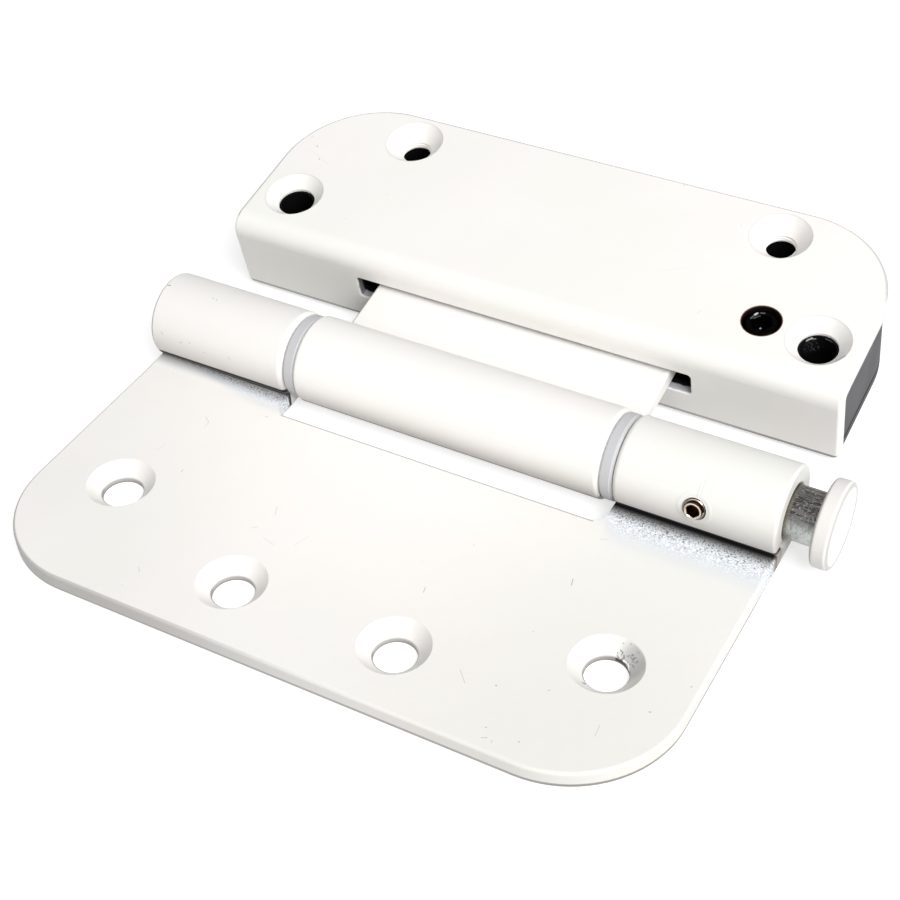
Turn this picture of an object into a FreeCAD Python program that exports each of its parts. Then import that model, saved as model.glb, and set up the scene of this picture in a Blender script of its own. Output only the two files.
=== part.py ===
"""Adjustable door hinge: a rolled door leaf, a knuckle on a sliding tongue, and a box for the frame.

The hinge lies on its door leaf. Every piece is drawn about the pin's axis, with X along the pin
towards its cap, Y from the pin towards the box and Z away from the leaf's seat, and is then moved
to its place. The pieces on the box's side are drawn square to the box and tipped to rest.
"""
import FreeCAD, Part
import math
import os
import Sketcher

doc = FreeCAD.newDocument("adjustable_door_hinge")

# Driving sizes, in millimetres and degrees, with what each one is
SIZES = {
    "hinge_length": (101.6, "length of the barrel and of both leaves"),
    "pin_setback": (30.0, "frame origin to the pin's axis, along Y"),
    "leaf_sheet": (2.7, "thickness of the door leaf"),
    "axis_over_leaf": (4.35, "pin's axis above the door leaf's open face"),
    "leaf_reach": (51.2, "pin's axis to the door leaf's outer edge"),
    "leaf_corner": (15.9, "radius of the door leaf's outer corners"),
    "edge_round": (0.45, "softened edge of the painted sheets"),
    "knuckle_round": (0.8, "rounding of the outer knuckles' inner ends"),
    "tongue_round": (0.55, "rounding of the middle knuckle's ends and the tongue's sides"),
    "leaf_slope": (3.0, "rise of the door leaf into its knuckles"),
    "leaf_seam": (0.3, "gap between the door leaf's face and the end of its curl"),
    "notch_depth": (9.3, "pin's axis to the edge of the notch between the knuckles"),
    "notch_corner": (2.0, "radius in the corners of the notch"),
    "outer_hole_inset": (12.4, "outer pair of leaf holes, in from the leaf's ends"),
    "outer_hole_margin": (19.3, "outer pair of leaf holes, in from the leaf's outer edge"),
    "inner_hole_margin": (9.95, "inner pair of leaf holes, in from the leaf's outer edge"),
    "leaf_hole": (2.95, "radius of the leaf holes"),
    "leaf_sink": (5.0, "radius of the leaf countersinks at the face"),
    "bore_radius": (3.9, "radius inside every knuckle"),
    "knuckle_opening": (54.0, "space between the two outer knuckles"),
    "ring_thickness": (2.05, "thickness of a bearing ring"),
    "knuckle_play": (0.1, "end play at each bearing ring"),
    "ring_inset": (0.25, "how far a ring sits below the door knuckles"),
    "ring_chamfer": (0.4, "chamfer of a ring's outer edges"),
    "pin_clearance": (0.07, "pin inside the knuckles, all round"),
    "pin_out": (4.4, "how far the pin is drawn out"),
    "pin_recess": (1.5, "seated pin's foot inside the far knuckle"),
    "pin_chamfer": (0.8, "chamfer on the pin's foot"),
    "cap_radius": (6.27, "radius of the pin's cap"),
    "cap_thickness": (2.48, "thickness of the pin's cap"),
    "cap_round": (0.55, "rounding of the cap's edges"),
    "spigot_radius": (2.2, "spigot of the pin inside its cap"),
    "spigot_length": (1.3, "length of that spigot"),
    "set_screw_inset": (11.6, "set screw, in from the barrel's end"),
    "set_screw_angle": (9.0, "set screw above the plane of the leaf"),
    "set_screw_radius": (1.45, "radius of the set screw"),
    "set_screw_mouth": (1.75, "radius of the recess round the set screw"),
    "set_screw_mouth_depth": (0.7, "depth of that recess at the knuckle's crown"),
    "set_screw_clearance": (0.04, "set screw in its hole, all round"),
    "set_screw_gap": (0.3, "set screw's tip, backed off from the pin"),
    "set_screw_proud": (0.55, "set screw's end beyond the knuckle"),
    "set_socket": (1.6, "hexagon in the set screw, across its flats"),
    "set_socket_depth": (1.2, "depth of that hexagon"),
    "slide_sheet": (2.8, "thickness of the slide leaf"),
    "tongue_drop": (1.8, "pin's axis down to the tongue's upper face"),
    "tongue_slope": (-25.0, "fall of the tongue into its knuckle"),
    "tongue_seam": (0.4, "gap between the tongue and the end of its curl"),
    "tongue_bend": (2.0, "inner radius where the tongue turns down to its knuckle"),
    "box_front": (17.65, "pin's axis to the face of the cover's flange"),
    "box_back": (50.2, "pin's axis to the cover's back edge"),
    "cover_sheet": (2.2, "thickness of the cover"),
    "cover_rise": (3.95, "cover's face above the pin's axis"),
    "cover_bend": (3.0, "outer radius of the cover's bend"),
    "cover_corner": (15.9, "radius of the cover's back corners"),
    "flange_drop": (9.77, "flange's lower edge below the pin's axis"),
    "flange_corner": (0.9, "radius of the flange's lower corners"),
    "window_gap": (0.45, "window beyond the tongue at full travel"),
    "window_top": (0.9, "upper edge of the window below the pin's axis"),
    "window_foot": (5.0, "lower edge of the window below the pin's axis"),
    "window_corner": (0.6, "radius in the corners of the window"),
    "window_round": (0.2, "softened rim of the window"),
    "front_hole_inset": (6.6, "front pair of box holes, in from the cover's ends"),
    "front_hole_setback": (9.0, "front pair of box holes, behind the flange's face"),
    "back_hole_inset": (19.15, "back pair of box holes, in from the cover's ends"),
    "back_hole_margin": (5.9, "back pair of box holes, in from the cover's back edge"),
    "cover_sink": (4.73, "radius of the cover's countersinks at its face"),
    "front_hole": (2.95, "radius of the cover's front holes"),
    "collar_bore": (2.4, "radius inside the collars of the back holes"),
    "collar_wall": (1.0, "wall of those collars"),
    "collar_depth": (3.5, "foot of the collars below the cover's face"),
    "passage": (2.6, "radius of the front screw passages in the housing and base plate"),
    "collar_skin": (0.9, "housing between those collars and the tongue's pocket"),
    "adjuster_inset": (15.4, "adjuster, in from the cover's end"),
    "adjuster_setback": (9.6, "adjuster, behind the flange's face"),
    "access_hole": (2.93, "radius of the access hole in the cover"),
    "housing_inset": (0.5, "housing inside the cover's outline"),
    "box_foot": (10.83, "underside of the base plate below the pin's axis"),
    "base_sheet": (1.2, "thickness of the base plate"),
    "roof_gap": (0.25, "housing's roof above the tongue"),
    "travel": (3.0, "height adjustment each way"),
    "stop_gap": (0.3, "carriage to the pocket's end at full travel"),
    "carriage_inset": (9.8, "carriage, in from the cover's ends"),
    "carriage_gap": (0.1, "carriage to its guide faces"),
    "carriage_float": (0.2, "carriage above the base plate"),
    "tooth_module": (0.8, "module of the rack and pinion"),
    "pinion_teeth": (9.0, "teeth on the pinion"),
    "tooth_addendum": (0.8, "height of a tooth above the pitch line, in modules"),
    "tooth_dedendum": (1.1, "depth of a tooth below the pitch line, in modules"),
    "tooth_slant": (27.0, "pressure angle of the teeth"),
    "backlash": (0.12, "play between rack and pinion along the pitch line"),
    "rack_teeth": (4.0, "teeth on the rack"),
    "head_recess": (0.35, "adjuster's head below the cover's face"),
    "head_dome": (0.9, "rounding of the adjuster's head"),
    "head_clearance": (0.08, "adjuster's head in the housing, all round"),
    "head_socket": (3.0, "hexagon in the adjuster, across its flats"),
    "head_socket_depth": (2.6, "depth of that hexagon"),
    "ring_groove": (0.7, "depth of the rubber ring's groove"),
    "ring_play": (0.02, "rubber ring inside the housing"),
    "journal_radius": (2.2, "radius of the adjuster's foot"),
    "journal_clearance": (0.08, "adjuster's foot in the base plate, all round"),
    "tooth_pocket_gap": (0.3, "housing clear of the pinion's teeth"),
    "carriage_screw_spacing": (15.0, "step between the carriage screws"),
    "carriage_screw": (1.65, "radius of the carriage screws"),
    "carriage_head": (3.1, "radius of the carriage screws' heads"),
    "carriage_head_depth": (1.9, "depth of those heads"),
    "base_screw": (1.0, "radius of the base plate's screws"),
    "base_head": (1.9, "radius of the base plate's screw heads"),
    "base_head_depth": (0.9, "depth of those heads"),
    "base_screw_length": (6.5, "length of the base plate's screws"),
    "recess_length": (2.2, "arms of the cross recess in the base plate's screws"),
    "recess_width": (0.5, "width of those arms"),
    "recess_depth": (0.7, "depth of those arms"),
    "side_screw_inset": (3.4, "side pair of base screws, in from the cover's ends"),
    "side_screw_setback": (16.85, "side pair of base screws, behind the flange's face"),
    "rear_screw_x": (12.0, "rear pair of base screws, from the middle"),
}

sizes = doc.addObject("Spreadsheet::Sheet", "Sizes")
for row, (name, (amount, meaning)) in enumerate(SIZES.items(), start=1):
    sizes.set(f"A{row}", meaning)
    sizes.set(f"B{row}", str(amount))
    sizes.setAlias(f"B{row}", name)
doc.recompute()

# Sizes that follow from the driving ones
FORMULAS = {
    "half_length": "Sizes.hinge_length / 2",
    "outer_hole_x": "Derived.half_length - Sizes.outer_hole_inset",
    "outer_hole_y": "Sizes.leaf_reach - Sizes.outer_hole_margin",
    "inner_hole_x": "Sizes.hinge_length / 8",
    "inner_hole_y": "Sizes.leaf_reach - Sizes.inner_hole_margin",
    "set_screw_x": "Derived.half_length - Sizes.set_screw_inset",
    "front_hole_x": "Derived.half_length - Sizes.front_hole_inset",
    "front_hole_y": "Sizes.box_front + Sizes.front_hole_setback",
    "back_hole_x": "Derived.half_length - Sizes.back_hole_inset",
    "back_hole_y": "Sizes.box_back - Sizes.back_hole_margin",
    "adjuster_x": "Derived.half_length - Sizes.adjuster_inset",
    "adjuster_y": "Sizes.box_front + Sizes.adjuster_setback",
    "leaf_barrel": "Sizes.bore_radius + Sizes.leaf_sheet",
    "slide_barrel": "Sizes.bore_radius + Sizes.slide_sheet",
    "leaf_foot": "-Sizes.axis_over_leaf - Sizes.leaf_sheet",
    "tongue_foot": "-Sizes.tongue_drop - Sizes.slide_sheet",
    "pin_radius": "Sizes.bore_radius - Sizes.pin_clearance",
    "knuckle_edge": "Sizes.knuckle_opening / 2",
    "ring_outer": "Derived.knuckle_edge - Sizes.knuckle_play",
    "ring_inner": "Derived.ring_outer - Sizes.ring_thickness",
    "cap_foot": "Derived.half_length + Sizes.pin_out",
    "cover_under": "Sizes.cover_rise - Sizes.cover_sheet",
    "housing_front": "Sizes.box_front + Sizes.cover_sheet",
    "housing_back": "Sizes.box_back - Sizes.housing_inset",
    "housing_half": "Derived.half_length - Sizes.housing_inset",
    "housing_foot": "Sizes.base_sheet - Sizes.box_foot",
    "collar_foot": "Sizes.cover_rise - Sizes.collar_depth",
    "collar_radius": "Sizes.collar_bore + Sizes.collar_wall",
    "edge_distance": "sqrt(Derived.housing_front ^ 2 + Sizes.box_foot ^ 2)",
    "rest_angle": "(atan(Sizes.box_foot / Derived.housing_front)"
                  " - asin(-Derived.leaf_foot / Derived.edge_distance)) / 1 deg",
    "window_half": "Derived.ring_inner + Sizes.travel + Sizes.window_gap",
    "tongue_roof": "-Sizes.tongue_drop + Sizes.roof_gap",
    "carriage_foot": "Derived.housing_foot + Sizes.carriage_float",
    "carriage_half": "Derived.half_length - Sizes.carriage_inset",
    "pocket_half": "Derived.carriage_half + Sizes.travel + Sizes.stop_gap",
    "pocket_roof": "Derived.tongue_foot + Sizes.carriage_gap",
    "pocket_back": "Derived.back_hole_y - Derived.collar_radius - Sizes.collar_skin",
    "tongue_reach": "Derived.pocket_back - Sizes.carriage_gap",
    "side_screw_x": "Derived.half_length - Sizes.side_screw_inset",
    "side_screw_y": "Sizes.box_front + Sizes.side_screw_setback",
    "rear_screw_y": "(Derived.pocket_back + Derived.housing_back) / 2",
    "tooth_step": "pi * Sizes.tooth_module",
    "pitch_radius": "Sizes.tooth_module * Sizes.pinion_teeth / 2",
    "tip_radius": "Derived.pitch_radius + Sizes.tooth_addendum * Sizes.tooth_module",
    "root_radius": "Derived.pitch_radius - Sizes.tooth_dedendum * Sizes.tooth_module",
    "rack_line": "Derived.adjuster_y + Derived.pitch_radius",
    "rack_tip": "Derived.rack_line - Sizes.tooth_addendum * Sizes.tooth_module",
    "rack_root": "Derived.rack_line + Sizes.tooth_dedendum * Sizes.tooth_module",
    "base_circle": "Derived.pitch_radius * cos(Sizes.tooth_slant * 1 deg)",
    "carriage_front": "Derived.rack_root",
    "rack_span": "Sizes.rack_teeth * Derived.tooth_step / 2",
    "head_radius": "Derived.root_radius",
    "head_bore": "Derived.head_radius + Sizes.head_clearance",
    "groove_floor": "Derived.head_radius - Sizes.ring_groove",
    "cord_outer": "Derived.head_bore - Sizes.ring_play",
    "cord_radius": "(Derived.cord_outer - Derived.groove_floor) / 2",
    "groove_middle": "(Derived.cover_under + Derived.pocket_roof) / 2",
    "head_top": "Sizes.cover_rise - Sizes.head_recess",
}

derived = doc.addObject("App::VarSet", "Derived")
for name in FORMULAS:
    derived.addProperty("App::PropertyFloat", name, "Hinge")
for name, formula in FORMULAS.items():
    derived.setExpression(name, formula)
doc.recompute()


def number(formula):
    """The present value of a formula over the sheet."""
    found = sizes.evalExpression(formula)
    return float(getattr(found, "Value", found))


def vector(x, y, z=0.0):
    """A short name for a point or direction."""
    return FreeCAD.Vector(x, y, z)


# Sketches and the features made from them
def new_body(name):
    """An empty body."""
    return doc.addObject("PartDesign::Body", name)


def new_sketch(body, plane, name):
    """A sketch on one of the body's own origin planes."""
    sketch = body.newObject("Sketcher::SketchObject", name)
    face = next(item for item in body.Origin.OriginFeatures if item.Role == plane)
    sketch.AttachmentSupport = [(face, "")]
    sketch.MapMode = "FlatFace"
    return sketch


def tie(sketch, kind, where, formula):
    """One dimension of a sketch, bound to a formula."""
    index = sketch.addConstraint(Sketcher.Constraint(kind, *where, number(formula)))
    sketch.setExpression(f"Constraints[{index}]", formula)


def tie_point(sketch, shape, end, x, y):
    """Hold one point of a sketch at two formulas, measured from its origin."""
    for kind, axis, formula in (("DistanceX", -2, x), ("DistanceY", -1, y)):
        if formula == "0":
            sketch.addConstraint(Sketcher.Constraint("PointOnObject", shape, end, axis))
        else:
            tie(sketch, kind, (-1, 1, shape, end), formula)


def draw_outline(sketch, corners):
    """A closed outline of straight lines through corners that are given as formulas."""
    points = [vector(number(x), number(y)) for x, y in corners]
    first = sketch.GeometryCount
    count = len(points)
    for index in range(count):
        sketch.addGeometry(Part.LineSegment(points[index], points[(index + 1) % count]))
    for index in range(count):
        joint = (first + index, 2, first + (index + 1) % count, 1)
        sketch.addConstraint(Sketcher.Constraint("Coincident", *joint))
    for index, (x, y) in enumerate(corners):
        tie_point(sketch, first + index, 1, x, y)


def draw_rectangle(sketch, x_low, x_high, y_low, y_high):
    """A rectangle between four formulas."""
    draw_outline(sketch, [(x_low, y_low), (x_high, y_low), (x_high, y_high), (x_low, y_high)])


def draw_circle(sketch, x, y, radius):
    """A circle about a point, all given as formulas."""
    middle = vector(number(x), number(y))
    shape = sketch.addGeometry(Part.Circle(middle, vector(0, 0, 1), number(radius)))
    tie_point(sketch, shape, 3, x, y)
    tie(sketch, "Radius", (shape,), radius)


def pad(body, sketch, length, name, reverse=False, symmetric=False):
    """Material from a sketch."""
    feature = body.newObject("PartDesign::Pad", name)
    feature.Profile = sketch
    feature.setExpression("Length", length)
    feature.Reversed = reverse
    if symmetric:
        feature.SideType = "Symmetric"
    doc.recompute()
    return feature


def pocket(body, sketch, length, name, reverse=False, symmetric=False):
    """A cut from a sketch, which has to take something away."""
    before = body.Shape.Volume
    feature = body.newObject("PartDesign::Pocket", name)
    feature.Profile = sketch
    feature.setExpression("Length", length)
    feature.Reversed = reverse
    if symmetric:
        feature.SideType = "Symmetric"
    doc.recompute()
    if not feature.Shape.Volume < before:
        raise RuntimeError(f"{name} cuts nothing")
    return feature


def revolve(body, sketch, axis, name):
    """A turned form about one of the sketch's own axes."""
    feature = body.newObject("PartDesign::Revolution", name)
    feature.Profile = sketch
    feature.ReferenceAxis = (sketch, [axis])
    feature.Angle = 360
    doc.recompute()
    return feature


def edges_of(feature, chosen):
    """Names of the edges of a feature for which the test holds."""
    return [f"Edge{index}" for index, edge in enumerate(feature.Shape.Edges, start=1) if chosen(edge)]


def finish_edges(body, kind, feature, chosen, amount, name):
    """A fillet or chamfer on the chosen edges of a body's last feature."""
    names = edges_of(feature, chosen)
    if not names:
        raise RuntimeError(f"{name} finds no edge")
    finish = body.newObject(f"PartDesign::{kind}", name)
    finish.Base = (feature, names)
    finish.setExpression("Radius" if kind == "Fillet" else "Size", amount)
    doc.recompute()
    if "Invalid" in finish.State or not finish.Shape.isValid():
        raise RuntimeError(f"{name} fails on {len(names)} edges")
    return finish


def near(value, formula):
    """Whether a measure is the value of a formula."""
    return abs(value - number(formula)) < 1e-4


def is_upright(edge):
    """Whether an edge is a straight line along Z."""
    ends = [vertex.Point for vertex in edge.Vertexes]
    return len(ends) == 2 and abs(abs(ends[1].z - ends[0].z) - edge.Length) < 1e-6


def is_long(edge):
    """Whether an edge runs along the hinge rather than across it."""
    return edge.Length > number("Derived.half_length")


# Primitives and booleans
def place_formula(piece, x, y, z):
    """Hold a primitive at three formulas."""
    for axis, formula in zip("xyz", (x, y, z)):
        piece.setExpression(f"Placement.Base.{axis}", formula)


def new_block(name, x_low, x_high, y_low, y_high, z_low, z_high):
    """A box between six formulas."""
    block = doc.addObject("Part::Box", name)
    place_formula(block, x_low, y_low, z_low)
    block.setExpression("Length", f"({x_high}) - ({x_low})")
    block.setExpression("Width", f"({y_high}) - ({y_low})")
    block.setExpression("Height", f"({z_high}) - ({z_low})")
    return block


def new_rod(name, x, y, z_low, z_high, radius):
    """An upright cylinder between two heights."""
    rod = doc.addObject("Part::Cylinder", name)
    place_formula(rod, x, y, z_low)
    rod.setExpression("Radius", radius)
    rod.setExpression("Height", f"({z_high}) - ({z_low})")
    return rod


def new_sink(name, x, y, z_low, z_high, low_radius, high_radius):
    """An upright cone between two heights."""
    sink = doc.addObject("Part::Cone", name)
    place_formula(sink, x, y, z_low)
    sink.setExpression("Radius1", low_radius)
    sink.setExpression("Radius2", high_radius)
    sink.setExpression("Height", f"({z_high}) - ({z_low})")
    return sink


def cut_away(name, base, tools):
    """A piece less a group of tools, each of which has to take something away."""
    doc.recompute()
    for tool in tools:
        if base.Shape.common(tool.Shape).Volume < 1e-6:
            raise RuntimeError(f"{tool.Label} cuts nothing from {name}")
    cut = doc.addObject("Part::Cut", f"{name}_cut")
    cut.Base = base
    if len(tools) == 1:
        cut.Tool = tools[0]
    else:
        cut.Tool = doc.addObject("Part::MultiFuse", f"{name}_cuts")
        cut.Tool.Shapes = tools
    return cut


nodes = []


def turn(piece, formula):
    """Turn a piece about the X axis by a formula in degrees."""
    piece.Placement = FreeCAD.Placement(vector(0, 0, 0), vector(1, 0, 0), number(formula))
    piece.setExpression("Placement.Rotation.Angle", formula)


def seat(piece, name, angle="", x="0", y="0"):
    """Name a finished piece and move it from the pin's axis to its place in the frame.

    A piece drawn about an axis of its own gives that axis as x and y in the box's plane.
    """
    piece.Label = name
    if angle:
        turn(piece, angle)
        along = f"({y}) * cos(({angle}) * 1 deg)"
        upward = f"({y}) * sin(({angle}) * 1 deg)"
    else:
        along = y
        upward = "0"
    place_formula(piece, x, f"Sizes.pin_setback + {along}", f"{upward} - Derived.leaf_foot")
    nodes.append(piece)


# Rolled sheets
def draw_rolled_sheet(sketch, side, reach, foot, sheet, barrel, slope, seam):
    """Section of a sheet that runs flat, slopes to the barrel and curls round the pin.

    The sheet lies on the side given by its sign, passes under the pin and curls up and over.
    """
    rise = f"tan({slope} * 1 deg)"
    tilt = f"cos({slope} * 1 deg)"
    face = f"({foot}) + {sheet}"
    low_bend = f"{side} * (({foot}) + {barrel} / {tilt}) / {rise}"
    high_bend = f"{side} * ({face} + Sizes.bore_radius / {tilt}) / {rise}"
    droop = f"asin((-({face}) - {seam}) / {barrel})"
    tip_y = f"{face} + {seam}"
    lip_y = f"-Sizes.bore_radius * sin({droop})"

    slant = math.radians(number(slope))
    outer = number(barrel)
    inner = number("Sizes.bore_radius")
    fall = math.radians(number(droop))
    turned = number(side)

    def on_barrel(radius, angle):
        """A point of the barrel's section, mirrored to the sheet's own side."""
        return vector(turned * radius * math.cos(angle), radius * math.sin(angle))

    def counterclockwise(points, sense):
        """An arc through three points, always drawn counterclockwise."""
        ordered = points if sense > 0 else points[::-1]
        return Part.Arc(*ordered)

    start = slant - math.pi / 2
    finish = math.pi + fall
    outer_points = [on_barrel(outer, start + (finish - start) * part) for part in (0, 0.5, 1)]
    inner_points = [on_barrel(inner, start + (finish - start) * part) for part in (0, 0.5, 1)]
    foot_far = vector(number(f"-({side}) * {reach}"), number(foot))
    face_far = vector(foot_far.x, number(face))
    foot_bend = vector(number(low_bend), number(foot))
    face_bend = vector(number(high_bend), number(face))

    low_flat = sketch.addGeometry(Part.LineSegment(foot_far, foot_bend))
    low_slope = sketch.addGeometry(Part.LineSegment(foot_bend, outer_points[0]))
    outer_arc = sketch.addGeometry(counterclockwise(outer_points, turned))
    lip = sketch.addGeometry(Part.LineSegment(outer_points[2], inner_points[2]))
    inner_arc = sketch.addGeometry(counterclockwise(inner_points, turned))
    high_slope = sketch.addGeometry(Part.LineSegment(inner_points[0], face_bend))
    high_flat = sketch.addGeometry(Part.LineSegment(face_bend, face_far))
    edge = sketch.addGeometry(Part.LineSegment(face_far, foot_far))

    begin, close = (1, 2) if turned > 0 else (2, 1)
    joints = [
        ("Coincident", low_flat, 2, low_slope, 1),
        ("Tangent", low_slope, 2, outer_arc, begin),
        ("Coincident", outer_arc, close, lip, 1),
        ("Coincident", lip, 2, inner_arc, close),
        ("Tangent", inner_arc, begin, high_slope, 1),
        ("Coincident", high_slope, 2, high_flat, 1),
        ("Coincident", high_flat, 2, edge, 1),
        ("Coincident", edge, 2, low_flat, 1),
        ("Coincident", outer_arc, 3, -1, 1),
        ("Coincident", inner_arc, 3, -1, 1),
    ]
    for joint in joints:
        sketch.addConstraint(Sketcher.Constraint(*joint))
    tie_point(sketch, low_flat, 1, f"-({side}) * {reach}", foot)
    tie_point(sketch, low_flat, 2, low_bend, foot)
    tie_point(sketch, high_flat, 1, high_bend, face)
    tie_point(sketch, high_flat, 2, f"-({side}) * {reach}", face)
    tie(sketch, "Radius", (outer_arc,), barrel)
    tie(sketch, "Radius", (inner_arc,), "Sizes.bore_radius")
    tie(sketch, "DistanceY", (-1, 1, lip, 1), tip_y)
    tie(sketch, "DistanceY", (-1, 1, lip, 2), lip_y)


# Door leaf
def make_door_leaf():
    """The flat leaf with its two outer knuckles, rolled from one sheet."""
    body = new_body("DoorLeafSheet")
    section = new_sketch(body, "YZ_Plane", "DoorLeafSection")
    draw_rolled_sheet(section, "1", "Sizes.leaf_reach", "Derived.leaf_foot", "Sizes.leaf_sheet",
                      "Derived.leaf_barrel", "Sizes.leaf_slope", "Sizes.leaf_seam")
    pad(body, section, "Sizes.hinge_length", "DoorLeafRoll", symmetric=True)

    notch = new_sketch(body, "XY_Plane", "DoorLeafNotch")
    draw_rectangle(notch, "-Derived.knuckle_edge", "Derived.knuckle_edge",
                   "-Sizes.notch_depth", "Derived.leaf_barrel + 1")
    opened = pocket(body, notch, "4 * Derived.leaf_barrel", "DoorLeafOpening", symmetric=True)

    def at_corner(edge):
        """The upright edges at the leaf's outer corners."""
        return is_upright(edge) and near(-edge.CenterOfMass.y, "Sizes.leaf_reach")

    cornered = finish_edges(body, "Fillet", opened, at_corner, "Sizes.leaf_corner", "DoorLeafCorners")

    def in_notch(edge):
        """The upright edges in the corners of the notch."""
        return is_upright(edge) and near(-edge.CenterOfMass.y, "Sizes.notch_depth")

    notched = finish_edges(body, "Fillet", cornered, in_notch, "Sizes.notch_corner", "NotchCorners")

    def on_knuckle(edge):
        """The outer knuckles' circles beside the notch."""
        barrel = isinstance(edge.Curve, Part.Circle) and near(edge.Curve.Radius, "Derived.leaf_barrel")
        return barrel and near(abs(edge.CenterOfMass.x), "Derived.knuckle_edge")

    rounded = finish_edges(body, "Fillet", notched, on_knuckle, "Sizes.knuckle_round", "KnuckleEnds")

    def on_outline(edge):
        """The ends of the sheet's section and its far edge, round the corners."""
        middle = edge.CenterOfMass
        if edge.BoundBox.XLength < 1e-4 and not is_upright(edge):
            return near(abs(middle.x), "Derived.half_length")
        level = edge.BoundBox.ZLength < 1e-4
        return level and middle.y < number("Sizes.leaf_corner - Sizes.leaf_reach")

    finish_edges(body, "Fillet", rounded, on_outline, "Sizes.edge_round", "DoorLeafEdges")

    holes = new_sketch(body, "XY_Plane", "DoorLeafHoles")
    for pair in ("outer", "inner"):
        for sign in ("-", ""):
            draw_circle(holes, f"{sign}Derived.{pair}_hole_x", f"-Derived.{pair}_hole_y", "Sizes.leaf_hole")
    drilled = pocket(body, holes, "4 * Derived.leaf_barrel", "DoorLeafDrilling", symmetric=True)

    def at_hole(edge):
        """The holes' circles on the leaf's open face."""
        round_edge = isinstance(edge.Curve, Part.Circle) and near(edge.Curve.Radius, "Sizes.leaf_hole")
        return round_edge and near(edge.CenterOfMass.z, "-Sizes.axis_over_leaf")

    finish_edges(body, "Chamfer", drilled, at_hole, "Sizes.leaf_sink - Sizes.leaf_hole", "LeafSinks")

    bore = new_rod("SetScrewHole", "0", "0", "0", "Derived.leaf_barrel + 1",
                   "Sizes.set_screw_radius + Sizes.set_screw_clearance")
    mouth = new_rod("SetScrewMouth", "0", "0", "Derived.leaf_barrel - Sizes.set_screw_mouth_depth",
                    "Derived.leaf_barrel + 1", "Sizes.set_screw_mouth")
    drill = doc.addObject("Part::MultiFuse", "SetScrewDrill")
    drill.Shapes = [bore, mouth]
    turn(drill, "90 - Sizes.set_screw_angle")
    drill.setExpression("Placement.Base.x", "Derived.set_screw_x")
    return cut_away("door_leaf", body, [drill])


# Slide leaf
def make_slide_leaf():
    """The middle knuckle and its tongue, rolled from one sheet, with tapped holes for the carriage."""
    body = new_body("SlideLeafSheet")
    section = new_sketch(body, "YZ_Plane", "SlideLeafSection")
    draw_rolled_sheet(section, "-1", "Derived.tongue_reach", "Derived.tongue_foot", "Sizes.slide_sheet",
                      "Derived.slide_barrel", "Sizes.tongue_slope", "Sizes.tongue_seam")
    rolled = pad(body, section, "2 * Derived.ring_inner", "SlideLeafRoll", symmetric=True)

    def bend_line(side, height):
        """A test for the line where one face of the tongue turns down."""
        def chosen(edge):
            """Whether an edge is that line."""
            middle = edge.CenterOfMass
            along = edge.BoundBox.ZLength < 1e-4 and edge.BoundBox.YLength < 1e-4
            inside = 1 < middle.y < number("Sizes.box_front")
            return along and inside and near(middle.z, height) and side * middle.y > 0
        return chosen

    bent = finish_edges(body, "Fillet", rolled, bend_line(1, "-Sizes.tongue_drop"),
                        "Sizes.tongue_bend", "TongueUpperBend")
    bent = finish_edges(body, "Fillet", bent, bend_line(1, "Derived.tongue_foot"),
                        "Sizes.tongue_bend + Sizes.slide_sheet", "TongueLowerBend")

    def on_side(edge):
        """The whole outline of the sheet's section, at both ends of the knuckle."""
        return edge.BoundBox.XLength < 1e-4 and near(abs(edge.CenterOfMass.x), "Derived.ring_inner")

    finish_edges(body, "Fillet", bent, on_side, "Sizes.tongue_round", "TongueEdges")
    holes = new_sketch(body, "XY_Plane", "TongueHoles")
    for step in (-1, 0, 1):
        across = "0" if step == 0 else f"{step} * Sizes.carriage_screw_spacing"
        draw_circle(holes, across, "(Derived.carriage_front + Derived.tongue_reach) / 2",
                    "Sizes.carriage_screw")
    pocket(body, holes, "4 * Derived.slide_barrel", "TongueDrilling", symmetric=True)
    return body


# Turned pieces along the pin
def make_turned(name, profile):
    """A piece turned about the pin's axis, from corners given as distance along it and radius."""
    body = new_body(name)
    section = new_sketch(body, "XZ_Plane", f"{name}Section")
    draw_outline(section, profile)
    return body, revolve(body, section, "H_Axis", f"{name}Turning")


def make_ring(name, side):
    """A plastic bearing ring between the middle knuckle and one outer knuckle."""
    near_end = f"{side} * Derived.ring_inner"
    far_end = f"{side} * Derived.ring_outer"
    near_shoulder = f"{side} * (Derived.ring_inner + Sizes.ring_chamfer)"
    far_shoulder = f"{side} * (Derived.ring_outer - Sizes.ring_chamfer)"
    rim = "Derived.leaf_barrel - Sizes.ring_inset"
    edge = f"{rim} - Sizes.ring_chamfer"
    profile = [(near_end, "Sizes.bore_radius"), (far_end, "Sizes.bore_radius"), (far_end, edge),
               (far_shoulder, rim), (near_shoulder, rim), (near_end, edge)]
    body, turned = make_turned(name, profile)
    return body


def make_pin():
    """The steel pin, chamfered at its foot and stepped where the cap is pressed on."""
    foot = "-Derived.half_length + Sizes.pin_recess + Sizes.pin_out"
    top = "Derived.cap_foot"
    end = "Derived.cap_foot + Sizes.spigot_length"
    profile = [(foot, "0"), (end, "0"), (end, "Sizes.spigot_radius"), (top, "Sizes.spigot_radius"),
               (top, "Derived.pin_radius"), (f"{foot} + Sizes.pin_chamfer", "Derived.pin_radius"),
               (foot, "Derived.pin_radius - Sizes.pin_chamfer")]
    body, turned = make_turned("PinShank", profile)
    return body


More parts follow.
